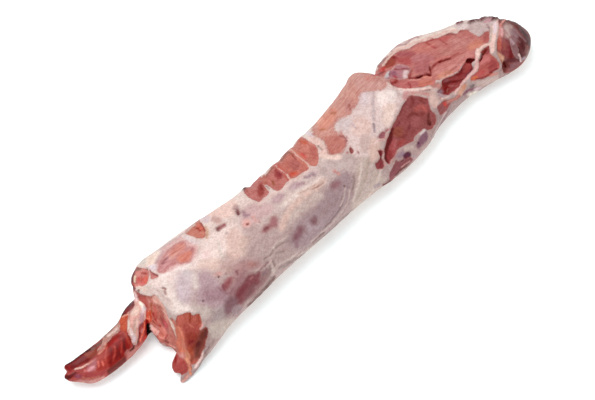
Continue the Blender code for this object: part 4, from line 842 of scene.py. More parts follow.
CHUMP_MARKS = (
    cover("near side of the chump", (174, 149, 146), 2.5, (432, 112), (440, 106), (456, 96), (470, 86),
        (492, 76), (510, 70), (504, 84), (484, 94), (460, 108), (448, 124), (436, 142), (428, 146),
        (434, 128)),
    cover("pale fat of the rim", (246, 226, 216), 1.6, (379, 66), (386, 57), (392, 50), (402, 46), (412, 40),
        (424, 36), (436, 32), (448, 28), (458, 26), (459, 31), (448, 32), (436, 37), (424, 40), (414, 44),
        (404, 49), (394, 53), (386, 62)),
    lean("oval face", (197, 121, 115), 24, (371, 74.5), (374, 72), (377, 70), (378, 67), (381, 64),
        (383.6, 61.4), (385, 59.4), (387, 58), (389, 55.6), (391, 54), (393, 51.8), (397, 51), (401, 50),
        (405, 49.4), (410, 47.6), (413, 45.4), (416, 43.6), (419, 42.4), (422, 41.6), (425, 41), (427, 39.5),
        (430, 38.2), (434, 38), (438, 37.5), (441, 36), (445, 34.2), (448, 33), (452, 32.8), (456, 33.8),
        (458, 33), (459, 31), (463, 30), (468, 30), (470, 32), (474, 34), (478, 36), (480, 36.5), (482, 35),
        (484, 33), (486, 31.5), (488, 31), (489, 32), (489.5, 38), (488.5, 41), (487, 43), (484, 44),
        (481, 46), (478, 48), (475, 52), (474.5, 58.5), (468, 59), (464, 63), (461, 67), (459, 70), (456, 72),
        (452, 74.5), (449, 76), (446, 78), (443, 79.5), (440, 80), (436, 80), (434, 84), (431, 85), (427, 86),
        (422, 87), (418, 87.5), (414, 88), (410, 88.5), (404, 88.5), (398, 87.5), (394, 86), (391, 84),
        (389, 80), (384, 77), (378, 76), (374, 76)),
    tint("burnt left end", (158, 72, 62), 1.6, (383, 65), (387, 59), (393, 54.6), (397, 60), (394, 65),
        (387, 68)),
    streak("deep spot of the left end", (148, 48, 52), 2.4, (393, 57), (398, 58)),
    tint("bright left tip", (196, 76, 72), 1.2, (378.6, 70), (381.4, 66.4), (384.6, 65.4), (385, 69.6),
        (381, 72)),
    streak("red of the left tip", (196, 86, 80), 2.6, (374.4, 74.4), (378, 74)),
    streak("dark under the left tip", (140, 58, 57), 2.2, (379, 73), (382, 72.4), (384.6, 71)),
    tint("dusky top of the face", (175, 93, 96), 1.8, (396, 53), (402, 51), (412, 51), (416, 53), (410, 56),
        (400, 56)),
    tint("rose left of the face", (181, 90, 89), 2.2, (397, 58), (408, 57), (414, 60), (410, 64), (400, 63)),
    tint("mauve middle of the face", (193, 121, 121), 3, (412, 56), (430, 54), (434, 60), (424, 62),
        (414, 62)),
    tint("rose middle of the face", (183, 107, 107), 2.2, (416, 63), (428, 61), (429, 69), (424, 73),
        (414, 71)),
    tint("warm upper left of the face", (206, 126, 117), 2.2, (413, 49), (416, 45), (428, 42), (436, 44),
        (430, 50), (418, 52)),
    streak("red edge of the face", (186, 94, 90), 2.2, (426, 41), (434, 39), (440, 38.4)),
    streak("first streak of the face", (176, 82, 78), 2, (426, 42), (430, 44)),
    streak("second streak of the face", (182, 86, 88), 1.9, (431.6, 46), (436, 47.8)),
    tint("bright rise of the face", (200, 106, 102), 2, (439, 37), (448, 35), (454, 37), (447, 40),
        (440, 40)),
    streak("dark line of the rise", (170, 84, 80), 1.6, (440.6, 40), (444, 41.6), (447, 44)),
    streak("dark top of the rise", (160, 92, 88), 1.9, (446, 34.2), (451, 33.4), (456, 34.6)),
    tint("light upper face", (203, 134, 128), 3, (450, 38), (466, 37), (474, 42), (468, 48), (452, 47)),
    tint("tan middle of the face", (196, 128, 120), 2.4, (440, 49), (452, 49), (452, 54), (442, 55)),
    streak("brown at the top", (172, 98, 92), 2.4, (459.6, 31.8), (464, 31.2)),
    tint("orange corner", (210, 132, 114), 2, (468, 44), (476, 40), (483, 40), (484, 44), (478, 48),
        (470, 50)),
    tint("red corner", (183, 101, 96), 1.3, (484, 38), (487, 32), (489, 33), (489, 40), (486, 43), (484, 42)),
    tint("lower face", (206, 132, 126), 2.4, (434, 68), (444, 62), (458, 57), (468, 52), (472, 56), (462, 66),
        (450, 74), (438, 77)),
    tint("warm foot of the lower face", (208, 134, 116), 1.8, (438, 74), (450, 70), (454, 72), (446, 77),
        (438, 79)),
    streak("pale edge of the lower face", (228, 166, 150), 2, (442, 79), (447, 76.8), (453, 74)),
    streak("pink line over the upper cut", (228, 134, 128), 1.6, (437, 60.2), (443, 57.8), (449, 56)),
    # The cracks' dark red is deepened with painted shade, darkest in their deep strokes.
    streak("upper cut", (146, 56, 54), 2.6, (431.4, 68.4), (434.4, 65), (438, 62), (442, 60.4)),
    stroke("deep of the upper cut", "cut", (120, 34, 34), 1.8, (440, 61), (445, 59.4), (451, 57.8)),
    streak("fine end of the upper cut", (172, 78, 74), 1.7, (451, 57.6), (455, 55), (459, 52.6)),
    stroke("short cut", "cut", (104, 26, 28), 1.9, (429.8, 66.4), (430.2, 69.4)),
    streak("foot of the short cut", (140, 52, 50), 2.2, (430.4, 69), (430.6, 75)),
    streak("long cut", (132, 42, 40), 2.8, (409.5, 77.8), (414, 77.8), (418, 76.8), (423, 75.2), (427, 73.8),
        (430, 74.6)),
    stroke("deep of the long cut", "cut", (84, 4, 6), 2.2, (417.6, 76.4), (422, 75.4)),
    stroke("second deep of the long cut", "cut", (104, 18, 18), 2.2, (427.4, 73.8), (430, 75)),
    streak("brown before the long cut", (162, 80, 78), 2.4, (411.6, 70.6), (409.6, 76)),
    streak("bright foot of the long cut", (228, 142, 126), 2, (421, 77.8), (426, 76.6), (431.4, 77.6)),
    streak("pink line of the long cut", (224, 150, 142), 1.6, (409, 79.6), (415, 79.6), (420, 78.6)),
    tint("low strip of the face", (192, 110, 107), 1.2, (390, 82), (392, 80), (404, 80), (416, 81), (422, 80),
        (420, 86), (408, 88), (396, 87)),
    streak("dark of the low strip", (148, 52, 48), 2.8, (392.6, 83), (396.4, 81.4)),
    streak("line of the low strip", (164, 68, 72), 2, (408, 82), (410, 85), (410.6, 88)),
    tint("orange end of the low strip", (202, 118, 104), 1.4, (420, 80), (432, 80), (431, 85), (420, 86)),
    fat("lilac sheet", (190, 134, 140), (384, 77), (386, 74), (388, 71.5), (390, 70), (392, 69.5),
        (394, 66.8), (397, 65), (402, 64.4), (407, 65.4), (409, 67.4), (410, 69.4), (409.2, 72), (407.6, 75),
        (407.8, 77.6), (404, 79), (398, 79), (393, 78.4), (389, 79), (386, 79.4)),
    cover("grey white of the sheet", (208, 198, 197), 1, (383, 76), (386, 72.6), (390, 72), (389, 76),
        (386, 78)),
    smear("dark side of the sheet", (148, 98, 104), 1.9, (390.4, 72.4), (389.4, 76)),
    cover("purple of the sheet", (166, 107, 122), 1.2, (391.4, 72), (395, 70.4), (397, 74), (395, 77),
        (391.6, 77)),
    smear("red of the sheet", (180, 84, 88), 2.4, (394, 76.4), (396, 78)),
    smear("brown line of the sheet", (156, 84, 86), 1.7, (394.6, 69.2), (400, 69.4), (405, 68.8),
        (410, 68.8)),
    cover("white end of the sheet", (228, 200, 199), 1.2, (403, 71.4), (408, 71), (408, 77.4), (403, 78)),
    stroke("peach fat of the rim", "fat", (242, 202, 190), 2, (383, 65.4), (388, 58.4), (392, 54),
        (396, 50.6), (402, 48.2), (408, 45.6), (413, 42.8), (418, 41.2), (425, 39.2), (432, 36.8),
        (440, 34.2), (448, 31.4), (457, 30.4)),
    smear("rosy edge of the rim", (198, 157, 156), 2.6, (391.2, 50.4), (393.6, 48), (396.6, 46.2), (401, 45),
        (405, 43.8), (408, 41.8), (410, 40), (412, 38.6), (415, 37.4), (418, 37)),
    smear("lower edge of the rim", (170, 132, 132), 1.7, (380, 63.6), (384, 60), (387, 56.6)),
    smear("brown end of the rim", (150, 112, 110), 2.2, (377.8, 67), (379, 65.6)),
    stroke("pink fat under the face", "fat", (246, 212, 202), 1.9, (387, 82.6), (391, 87), (398, 88.8),
        (408, 89.6), (416, 89.8), (424, 89.2), (431.6, 87.6)),
    cover("pink before the trough", (198, 141, 134), 1.6, (432, 80), (436, 82), (441, 84), (440, 88),
        (434, 88), (431, 86)),
    lean("trough", (146, 66, 66), 42, (441.5, 83), (442, 81), (444, 79.5), (447, 78), (450, 76.8),
        (454, 74.5), (457, 73), (459.5, 70.5), (461.5, 67.5), (463.5, 64), (465.5, 61), (467, 59),
        (470, 58.3), (474, 58.5), (474.6, 60), (473, 61.5), (471.5, 63), (471.5, 65), (472.5, 67),
        (473.5, 68), (472, 70.5), (469.5, 73), (467, 76), (464.5, 79), (462, 82), (460, 85), (458.5, 87.5),
        (456.5, 90), (453, 92), (450, 94), (447, 95), (443, 94), (438, 92.5), (437, 91), (440, 88.6),
        (441.6, 86)),
    tint("red throat of the trough", (162, 72, 69), 1.4, (464, 66), (467, 63), (471, 64), (470, 68),
        (465, 71)),
    streak("maroon side of the trough", (124, 54, 64), 2.6, (472, 68), (469, 72), (466, 75)),
    streak("dark of the trough", (116, 28, 30), 2.4, (462, 70), (458, 75)),
    streak("darkest line of the trough", (106, 26, 24), 2.2, (446, 82.4), (452, 81), (458, 80.4), (463, 79)),
    # A painted dull sheen on the trough's muscle.
    streak("dull sheen of the trough", (154, 90, 92), 2.6, (445.4, 81), (448, 80)),
    tint("dark foot of the trough", (122, 38, 30), 1.2, (443, 84), (448, 83.4), (449.6, 88), (448, 93),
        (444, 93), (443.4, 88)),
    streak("first seam of the foot", (164, 92, 90), 1.5, (449, 85), (454, 86), (457.4, 85)),
    streak("brown seam of the foot", (152, 82, 76), 1.5, (447.8, 88), (447.2, 92)),
    tint("lilac grey of the foot", (144, 110, 118), 1.2, (437, 91), (441, 89), (443, 92), (440, 94.4)),
    # Dark red deepened with painted shade inside the hole.
    cut("deep hole", (88, 0, 4), (466.5, 61.6), (467.5, 59.6), (470, 58.8), (474.3, 59.2), (474.4, 60.4),
        (472.5, 61.8), (470.5, 63), (468, 62.8)),
    stroke("grey bit by the hole", "fat", (200, 184, 182), 2, (472.4, 65), (473.4, 67)),
    fat("white ridge", (234, 190, 184), (476, 50), (477.6, 48), (480, 47.2), (483, 46.8), (481.4, 49.6),
        (480.4, 52), (480.4, 54.6), (479.4, 57.6), (478, 59.6), (478, 62), (478.8, 66), (478.2, 68),
        (476.6, 71), (474, 73.4), (471, 76), (468, 79), (465, 82), (462, 85), (460, 88), (458, 91), (456, 94),
        (454, 93), (456, 90), (458, 87.6), (459.6, 85.4), (461, 83), (463, 80.6), (466, 77.4), (469, 74.4),
        (472, 71.4), (474, 69), (474.6, 66), (475, 63), (474.6, 60), (475, 55)),
    smear("white top of the ridge", (255, 226, 212), 3.6, (478.6, 50), (477.4, 55.4)),
    stroke("bridge of the ridge", "fat", (250, 212, 198), 2.3, (491, 45), (486, 44.4), (483.5, 45.8),
        (480.4, 48)),
    lean("red triangle", (184, 98, 92), 40, (478.5, 60), (480, 57.5), (482.5, 54.5), (484.5, 51), (486, 48.5),
        (487.5, 47), (488.8, 48.5), (489.8, 51), (491, 53.5), (493.5, 56), (496, 58.5), (498, 61),
        (499.5, 64), (500, 67), (498.5, 69.5), (496, 71), (493, 73), (490, 75.5), (486, 77.5), (482, 79),
        (478, 79.5), (474, 80.5), (471, 80.5), (470.5, 78), (472, 76), (474.5, 74), (477, 71), (478.8, 68),
        (479, 65), (478.3, 62)),
    tint("dusky top of the triangle", (164, 80, 80), 1.4, (485, 50), (488, 48), (490, 53), (487, 55)),
    tint("pink of the triangle", (204, 120, 118), 1.8, (483, 56), (489, 55), (490, 61), (484, 64), (480, 65)),
    tint("dark right of the triangle", (162, 74, 74), 2.8, (490, 60), (495, 60), (498, 66), (496, 71),
        (489, 72)),
    tint("bright foot of the triangle", (191, 90, 88), 1.6, (475, 75), (480, 70), (486, 71), (484, 75),
        (477, 77)),
    streak("orange foot of the triangle", (218, 118, 80), 3, (472.4, 78.6), (477, 77.4)),
    streak("dark foot of the triangle", (132, 42, 40), 2, (477, 79.4), (483, 78.4), (489, 75.6)),
    streak("second dark foot", (126, 38, 42), 2.4, (491, 73), (494.6, 71.6), (497.6, 69.6)),
    # Dark red deepened with painted shade inside the cut.
    stroke("cut beside the ridge", "cut", (88, 10, 12), 2.2, (485.6, 49), (483.4, 52.4), (482, 55),
        (480.6, 57.6), (479.2, 59.6)),
    stroke("top of that cut", "lean", (146, 58, 54), 2.4, (488, 46.8), (485, 48.6), (482, 52)),
    cover("white top", (212, 190, 187), 1.4, (455, 27), (458, 25), (462, 24.5), (468, 24), (474, 23),
        (480, 22), (484, 20), (488, 17.5), (492, 18), (494, 20), (492, 24), (491, 28), (489, 31), (485, 32),
        (480, 36), (474, 34), (466, 30), (458, 30)),
    cover("pale pink of the white top", (236, 217, 213), 1.4, (455, 28), (459, 25), (467, 25), (466, 29),
        (458, 30)),
    cover("lilac of the white top", (196, 152, 157), 1.3, (484, 21), (489, 18), (493, 20), (489, 23),
        (484, 23)),
    smear("dusky side of the white top", (162, 128, 126), 2, (487, 25), (489.4, 28.4), (490, 32)),
    fat("white band", (250, 214, 204), (490, 33), (491, 29), (493, 25), (495, 22), (498, 21), (497.5, 26),
        (497, 31), (496.5, 36), (495.5, 41), (494.5, 46), (494, 50), (492.5, 53), (490.5, 51), (489.8, 48),
        (489, 45), (489.8, 41), (490.5, 37)),
    smear("lilac white of the band", (240, 223, 229), 3.4, (495, 24), (494.6, 32)),
    smear("olive edge of the band", (195, 178, 164), 1.8, (491.6, 28.6), (491, 36), (490.4, 41)),
    tag("first dark tag", (128, 74, 84), 2.6, (457.5, 24.6), (462.4, 22.6)),
    tag("second dark tag", (88, 28, 44), 3, (469, 23), (472, 22), (475, 20.8), (476.8, 20.6)),
    tag("third dark tag", (118, 68, 78), 2.2, (478, 21), (481.4, 20.4)),
    tag("fourth dark tag", (112, 58, 64), 2.8, (482, 19.6), (485, 18.2), (488, 16.8), (491, 16.6), (493, 18)),
    tag("fifth dark tag", (80, 30, 35), 2.4, (492, 20.2), (494, 19.2), (497, 19.4)),
    fat("pale tendon", (220, 188, 178), (430, 91), (434, 90), (436, 95), (438, 99), (438, 104), (436, 108),
        (432, 106), (430, 100)),
    cover("grey lilac under the trough", (186, 160, 163), 1.4, (438, 93.6), (448, 94.6), (449, 97.4),
        (440, 97.4)),
    smear("brown line under the trough", (184, 112, 98), 1.6, (440, 98), (445, 99.6)),
    smear("pale line under the trough", (226, 200, 190), 1.9, (442, 99), (448, 96.4)),
    lean("orange foot", (151, 86, 86), 60, (440, 104), (443, 101), (447, 100), (451, 101), (449, 106),
        (446, 111), (441, 115), (438, 110), (438, 106)),
    streak("red of the orange foot", (206, 76, 68), 3.4, (445, 103), (446, 105)),
    stroke("orange strand of the foot", "lean", (198, 132, 122), 3, (448, 101.8), (454, 99), (459, 96)),
    cover("orange tan of the near side", (206, 146, 122), 1.4, (460.6, 88), (463, 85), (466.4, 84),
        (467, 86.4), (465, 89.4), (462, 91)),
    cover("tan of the near side", (214, 166, 146), 1.4, (458, 92), (460, 89), (463.4, 90), (462, 95),
        (459, 95)),
    smear("purple of the near side", (134, 86, 100), 2.8, (464.4, 94.4), (467, 91.4), (470, 89.6),
        (474, 88.6)),
    smear("dark grey of the near side", (114, 102, 100), 2.8, (471.2, 86.2), (473.4, 85)),
    smear("pale lilac of the near side", (216, 186, 190), 2.2, (475, 89.4), (480, 88)),
    smear("green white of the near side", (234, 226, 210), 3, (469, 95), (477, 92)),
    cover("greenish white", (200, 176, 168), 1.8, (476, 82), (486, 79), (496, 75), (501, 74), (496, 81),
        (484, 86), (477, 86)),
    smear("pink line under the triangle", (216, 142, 128), 2.2, (490, 75.8), (493.4, 74.6), (497, 73)),
    smear("grey side under the knob", (172, 143, 139), 3.4, (501, 70), (500, 77)),
    smear("pale line down the side", (206, 182, 178), 1.3, (446, 112), (438, 126), (432, 140)),
    smear("dark line down the side", (150, 124, 126), 1.2, (449, 110), (441, 124), (434, 138)),
)

KNOB_MARKS = (
    lean("knob", (140, 78, 76), -55, (498, 36), (498.6, 28), (499, 18), (500.5, 14), (504, 13), (509, 14.5),
        (513, 17), (517, 20), (521, 23.5), (525, 27), (529, 31), (533, 37), (535.4, 43), (535.4, 49),
        (533, 55), (530, 59), (526, 63), (523, 65), (520, 68), (516, 70), (512, 72), (507, 73), (503, 72),
        (502, 66), (500, 60), (497, 52), (497, 42)),
    tint("pink side of the knob", (216, 150, 144), 1.4, (498, 24), (502, 24), (503, 34), (500, 38),
        (497.6, 36)),
    streak("pale of the pink side", (236, 182, 181), 2.4, (501.4, 28), (501.6, 34)),
    tint("orange of the knob", (194, 101, 87), 2, (497, 37), (501, 38), (503, 44), (501, 50), (497.4, 49)),
    tint("red of the knob", (141, 68, 70), 1.8, (502, 40), (508, 40), (511, 50), (509, 56), (503, 54)),
    streak("brown of the knob", (154, 86, 79), 3, (504.6, 43), (505, 49)),
    streak("seam of the knob", (118, 46, 50), 2.8, (508, 40), (509.6, 45), (510.6, 50), (511.2, 54)),
    tint("deep red of the knob", (112, 35, 37), 2, (509, 54), (512, 53), (515, 58), (513, 61), (509, 59)),
    tint("tan by the knob", (214, 156, 132), 1.4, (492, 54), (498, 52), (504, 57), (503, 62), (499, 60),
        (495, 57)),
    streak("brown beside the hole", (172, 122, 106), 2.6, (501.4, 61), (501.8, 68)),
    tint("grey sheet", (198, 164, 159), 2.4, (504, 24), (508, 22), (513, 24), (513, 33), (508, 38),
        (504, 34)),
    tint("dusky middle of the knob", (160, 124, 127), 2, (511, 28), (516, 29), (520, 37), (517, 42),
        (512, 38)),
    tint("dark side of the knob", (108, 58, 58), 2, (518, 36), (523, 35), (532, 44), (531, 54), (522, 57),
        (519, 48)),
    streak("darkest of the side of the knob", (88, 38, 41), 4, (522, 43), (524, 49)),
    streak("red brown of the side", (140, 86, 81), 2.6, (528, 46), (527, 53)),
    streak("first arc of the side", (152, 112, 117), 1.4, (515, 31), (519, 34), (523, 37), (526.4, 41)),
    streak("second arc of the side", (142, 98, 102), 1.2, (513, 35), (517, 38), (520.6, 42)),
    streak("deep edge by the sheet", (84, 22, 28), 2.4, (518.8, 48), (520.4, 53), (523, 58)),
    streak("olive rim of the side", (140, 116, 110), 3, (530.6, 51), (528, 58)),
    streak("lilac foot of the side", (162, 141, 146), 2.4, (522.6, 60), (525.6, 58)),
    fat("lilac sheet of the knob", (144, 107, 109), (509, 38), (512, 38.5), (514.5, 41), (516.5, 44.5),
        (518, 48), (518.5, 52), (519.5, 56), (520.5, 59.5), (518, 59), (515.5, 57), (513.5, 54), (512, 50),
        (511, 46), (510, 42)),
    smear("pale top of that sheet", (186, 156, 161), 2.6, (510.6, 39), (513.4, 43)),
    stroke("white line of the knob", "fat", (240, 215, 210), 1.7, (519, 54), (520.4, 59), (520.9, 62)),
    streak("dark rim of the knob", (92, 64, 66), 4.6, (511, 20), (515, 23), (519, 26.6), (523.4, 31),
        (528, 36.6), (531, 43)),
    tag("raised rim of the knob", (116, 66, 62), 5, (503, 20.6), (508, 21.4), (513, 23.4), (518, 26.4)),
    streak("bright top of the knob", (236, 162, 151), 1.8, (504.6, 20.4), (502, 22.6), (500.4, 25)),
    tint("dark foot of the knob", (104, 52, 54), 1.4, (507, 60), (511, 58), (519, 58), (520, 62), (512, 63)),
    tint("lilac tip of the foot", (136, 88, 92), 1.4, (511, 65), (518, 63), (519, 65), (514, 69), (510, 70)),
    # Dark red deepened with painted shade inside the hole.
    cut("hole under the knob", (112, 64, 62), (503.5, 63), (505, 61), (507.5, 61), (509.5, 63.5), (510, 67),
        (508, 69.5), (506.5, 72), (504.5, 73.5), (503.5, 70), (503.2, 66)),
    stroke("deep of that hole", "cut", (76, 26, 26), 2.6, (506, 64), (506.6, 67.4)),
)

ALL_MARKS = (TAIL_MARKS + BODY_MARKS + FAR_EDGE_MARKS + CAP_MARKS + BLOCK_MARKS + DARK_MUSCLE_MARKS
             + CHUMP_MARKS + KNOB_MARKS + CUT_FACE_MARKS + LOBE_MARKS)


def linear(finish):
    """A finish as linear light."""
    shown = np.array(finish, float) / 255.0
    return np.where(shown <= 0.04045, shown / 12.92, ((shown + 0.055) / 1.055) ** 2.4)


def colour(finish):
    return (*linear(finish), 1.0)


def ease(value, low, high):
    """0 at low, 1 at high, and a smooth step between."""
    share = np.clip((value - low) / (high - low), 0.0, 1.0)
    return share * share * (3.0 - 2.0 * share)


def waves(points, size, detail=2, seed=0.0):
    """Soft noise of that size over the points, about -1 to 1."""
    shift = Vector((seed, 1.7 * seed, 2.3 * seed))
    return np.array([noise.fractal(Vector(p / size) + shift, 1.0, 2.0, detail) for p in points])


def photo_pixels(points):
    """Where the photograph's camera sees these points, in its pixels."""
    from_eye = points - np.array(EYE)
    depth = -from_eye @ np.array(BACK)
    across = PHOTO_WIDTH / 2 + PIXELS_TO_FOCUS * (from_eye @ np.array(RIGHT)) / depth
    down = PHOTO_HEIGHT / 2 - PIXELS_TO_FOCUS * (from_eye @ np.array(UP)) / depth
    return np.stack([across, down], axis=1)


def deselect_all():
    bpy.ops.object.select_all(action="DESELECT")


def make_active(piece):
    deselect_all()
    piece.select_set(True)
    bpy.context.view_layer.objects.active = piece


def apply_modifier(piece, kind, **settings):
    make_active(piece)
    modifier = piece.modifiers.new(kind.title(), kind)
    for name, value in settings.items():
        setattr(modifier, name, value)
    bpy.ops.object.modifier_apply(modifier=modifier.name)


def read_out(items, key, width, kind=np.float32):
    flat = np.empty(len(items) * width, kind)
    items.foreach_get(key, flat)
    return flat.reshape(-1, width)


def write_in(items, key, values):
    items.foreach_set(key, values.astype(np.float32).ravel())


def points_of(mesh):
    return read_out(mesh.vertices, "co", 3).astype(float)


def normals_of(mesh):
    return read_out(mesh.vertex_normals, "vector", 3).astype(float)


def edges_of(mesh):
    return read_out(mesh.edges, "vertices", 2, np.int32)


def beside(shares, values):
    """One share a vertex, in the shape that multiplies values with one or several numbers a vertex."""
    return shares.reshape((-1,) + (1,) * (values.ndim - 1))


def level_with_neighbours(values, edges, rounds):
    """Each vertex's value drawn towards the mean of its neighbours."""
    count = np.bincount(edges.ravel(), minlength=len(values)).astype(float)
    for _ in range(rounds):
        total = np.zeros_like(values)
        np.add.at(total, edges[:, 0], values[edges[:, 1]])
        np.add.at(total, edges[:, 1], values[edges[:, 0]])
        values = (1.0 - NEIGHBOUR_PULL) * values + NEIGHBOUR_PULL * total / beside(count, values)
    return values


def make_skin():
    """The solid's own surface as one fine, even skin."""
    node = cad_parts["pork_loin"]
    skin = node.copy()
    skin.data = node.data.copy()
    skin.name = "loin_skin"
    for key in list(skin.keys()):
        del skin[key]
    skin.parent = None
    bpy.context.scene.collection.objects.link(skin)
    make_active(skin)
    bpy.ops.object.mode_set(mode="EDIT")
    bpy.ops.mesh.select_all(action="SELECT")
    bpy.ops.mesh.remove_doubles(threshold=WELD)
    bpy.ops.object.mode_set(mode="OBJECT")
    apply_modifier(skin, "REMESH", mode="VOXEL", voxel_size=SKIN_GRID, use_smooth_shade=True)
    apply_modifier(skin, "SMOOTH", factor=SOFTENING, iterations=SOFTENING_ROUNDS)
    thin_out(skin, [face.center.z < BASE_LEVEL and face.normal.z < BASE_FACING
                    for face in skin.data.polygons], BASE_SHARE)
    seen = level_with_neighbours(seen_by_camera(skin.data), edges_of(skin.data), HIDDEN_MARGIN_ROUNDS)
    thin_out(skin, [face.center.z > BASE_LEVEL and max(seen[v] for v in face.vertices) < LEAST_SEEN
                    for face in skin.data.polygons], HIDDEN_SHARE)
    return skin


def thin_out(skin, chosen, share):
    """Fewer faces, down to that share of them, where they aren't needed."""
    make_active(skin)
    bpy.ops.object.mode_set(mode="EDIT")
    bpy.ops.mesh.select_all(action="DESELECT")
    bpy.ops.object.mode_set(mode="OBJECT")
    skin.data.polygons.foreach_set("select", [bool(choice) for choice in chosen])
    bpy.ops.object.mode_set(mode="EDIT")
    bpy.ops.mesh.decimate(ratio=share)
    bpy.ops.object.mode_set(mode="OBJECT")


def tree_of(mesh):
    return bvhtree.BVHTree.FromPolygons([vertex.co for vertex in mesh.vertices],
                                        [tuple(face.vertices) for face in mesh.polygons])


def seen_by_camera(mesh):
    """How well the photograph's camera sees each vertex, from 0 to 1."""
    tree = tree_of(mesh)
    points = points_of(mesh)
    normals = normals_of(mesh)
    to_eye = np.array(EYE) - points
    to_eye /= np.linalg.norm(to_eye, axis=1)[:, None]
    seen = ease((normals * to_eye).sum(axis=1), *GRAZING)
    start = points + SIGHT_LIFT * normals + SIGHT_START * to_eye
    for index in np.nonzero(seen > 0)[0]:
        if tree.ray_cast(Vector(start[index]), Vector(to_eye[index]))[0] is not None:
            seen[index] = 0.0
    return seen


def rounded(points, closed):
    """A smooth line through the points."""
    points = np.array(points, float)
    if len(points) < 3:
        return points
    if closed:
        ring = np.vstack([points[-1], points, points[:2]])
    else:
        ring = np.vstack([2 * points[0] - points[1], points, 2 * points[-1] - points[-2]])
    line = []
    for a, b, c, d in zip(ring, ring[1:], ring[2:], ring[3:]):
        for step in range(OUTLINE_STEPS):
            t = step / OUTLINE_STEPS
            line.append(0.5 * (2 * b + (c - a) * t + (2 * a - 5 * b + 4 * c - d) * t ** 2
                               + (3 * b - a - 3 * c + d) * t ** 3))
    if not closed:
        line.append(points[-1])
    return np.array(line)


def depth_inside(mark, pixels):
    """The pixels that a mark reaches, and how far inside it each lies, below 0 outside it."""
    is_area = mark.width == 0.0
    line = rounded(mark.points, closed=is_area)
    room = REACH + mark.width
    reached = (pixels > line.min(axis=0) - room) & (pixels < line.max(axis=0) + room)
    near = np.nonzero(reached.all(axis=1))[0]
    here = pixels[near]
    ends = np.roll(line, -1, axis=0) if is_area else np.vstack([line[1:], line[-1:]])
    nearest = np.full(len(here), np.inf)
    inside = np.zeros(len(here), bool)
    for start, end in zip(line, ends):
        along = end - start
        share = np.clip((here - start) @ along / max(along @ along, NO_LENGTH), 0.0, 1.0)
        gap = here - start - share[:, None] * along
        nearest = np.minimum(nearest, (gap ** 2).sum(axis=1))
        if is_area and start[1] != end[1]:
            crosses = (start[1] > here[:, 1]) != (end[1] > here[:, 1])
            at = start[0] + along[0] * (here[:, 1] - start[1]) / along[1]
            inside ^= crosses & (here[:, 0] < at)
    distance = np.sqrt(nearest)
    depth = np.where(inside, distance, -distance) if is_area else mark.width / 2 - distance
    return near, np.clip(depth, -REACH, REACH)


def along_grain(points, angle):
    """The points drawn together along the muscle's fibres, so that noise read there comes out as strands."""
    turn = math.radians(angle)
    up_on_ground = Vector((UP.x, UP.y, 0.0)).normalized()
    along = np.array(math.cos(turn) * RIGHT + math.sin(turn) / math.sin(VIEW_RISE) * up_on_ground)
    along /= np.linalg.norm(along)
    around = points - points.mean(axis=0)
    return around - GRAIN_PULL * (around @ along)[:, None] * along


def wandering(points, size):
    """How a hand that follows an outline strays at each point, to either side."""
    return np.stack([waves(points, size, seed=11.0), waves(points, size, seed=17.0)], axis=1)


def ground_coat(points):
    """The skin before its marks: silverskin, greyer on the near side and darkened there with painted shade,
    and the muscle under it.
    """
    near_grey_and_shade = ease(points[:, 1], *NEAR_GREY_AND_SHADE_SPAN)[:, None]
    return {
        "cover": linear(SILVERSKIN) + near_grey_and_shade * (linear(NEAR_SKIN_AND_SHADE) - linear(SILVERSKIN)),
        "lean": np.tile(linear(CUT_LEAN), (len(points), 1)),
        "bare": np.full(len(points), -REACH),
        "rise": np.zeros(len(points)),
        "grain": along_grain(points, LOIN_GRAIN),
    }


def paint(points):
    """All the marks laid on in order: both layers' colours, how far inside bare muscle each is, and cuts."""
    pixels = photo_pixels(points)
    hand = WANDER * (wandering(points, LONG_WAVE) + SHORT_WAVE_SHARE * wandering(points, SHORT_WAVE))
    patchy = np.clip(PATCH_MEAN + PATCH_SWING * waves(points, PATCH, seed=23.0), THINNEST, 1.0)
    layers = ground_coat(points)
    for mark in ALL_MARKS:
        near, depth = depth_inside(mark, pixels + min(mark.blur, MOST_STRAY) * hand)
        share = ease(depth, -mark.blur, mark.blur)[:, None]
        if mark.width > 0.0:
            share *= patchy[near][:, None]
        finish = linear(mark.finish)
        if mark.grain is not NO_GRAIN:
            layers["grain"][near[depth > 0]] = along_grain(points[near[depth > 0]], mark.grain)
            depth = depth * SHARP_BLUR / mark.blur
        if mark.kind not in ("lean", "tint"):
            layers["cover"][near] += share * (finish - layers["cover"][near])
        if mark.kind in ("lean", "tint", "cut", "tag"):
            layers["lean"][near] += share * (finish - layers["lean"][near])
        if mark.kind == "lean":
            layers["bare"][near] = np.maximum(layers["bare"][near], depth)
        if mark.kind == "fat":
            layers["bare"][near] = np.minimum(layers["bare"][near], -depth)
        if mark.kind in MARK_RISE:
            layers["rise"][near] += share[:, 0] * (MARK_RISE[mark.kind] - layers["rise"][near])
    return layers


def round_the_compass(count):
    """Directions spread evenly over a whole sphere."""
    step = np.arange(count) + 0.5
    height = 1.0 - 2.0 * step / count
    turn = step * math.pi * (3.0 - math.sqrt(5.0))
    level = np.sqrt(1.0 - height ** 2)
    return np.stack([level * np.cos(turn), level * np.sin(turn), height], axis=1)


def room_in_view(mesh, seen):
    """The share of the room round each vertex that the loin itself doesn't hide."""
    tree = tree_of(mesh)
    normals = normals_of(mesh)
    rays = round_the_compass(ROOM_RAYS)
    facing = np.clip(normals @ rays.T, 0.0, None)
    facing[facing < ROOM_GRAZING] = 0.0
    starts = points_of(mesh) + ROOM_START * normals
    clear = np.zeros_like(facing)
    for index in np.nonzero(seen > 0)[0]:
        start = Vector(starts[index])
        for ray in np.nonzero(facing[index])[0]:
            clear[index, ray] = tree.ray_cast(start, Vector(rays[ray]), ROOM_REACH)[0] is None
    share = (clear * facing).sum(axis=1) / facing.sum(axis=1)
    return np.where(seen > 0, share, 1.0)


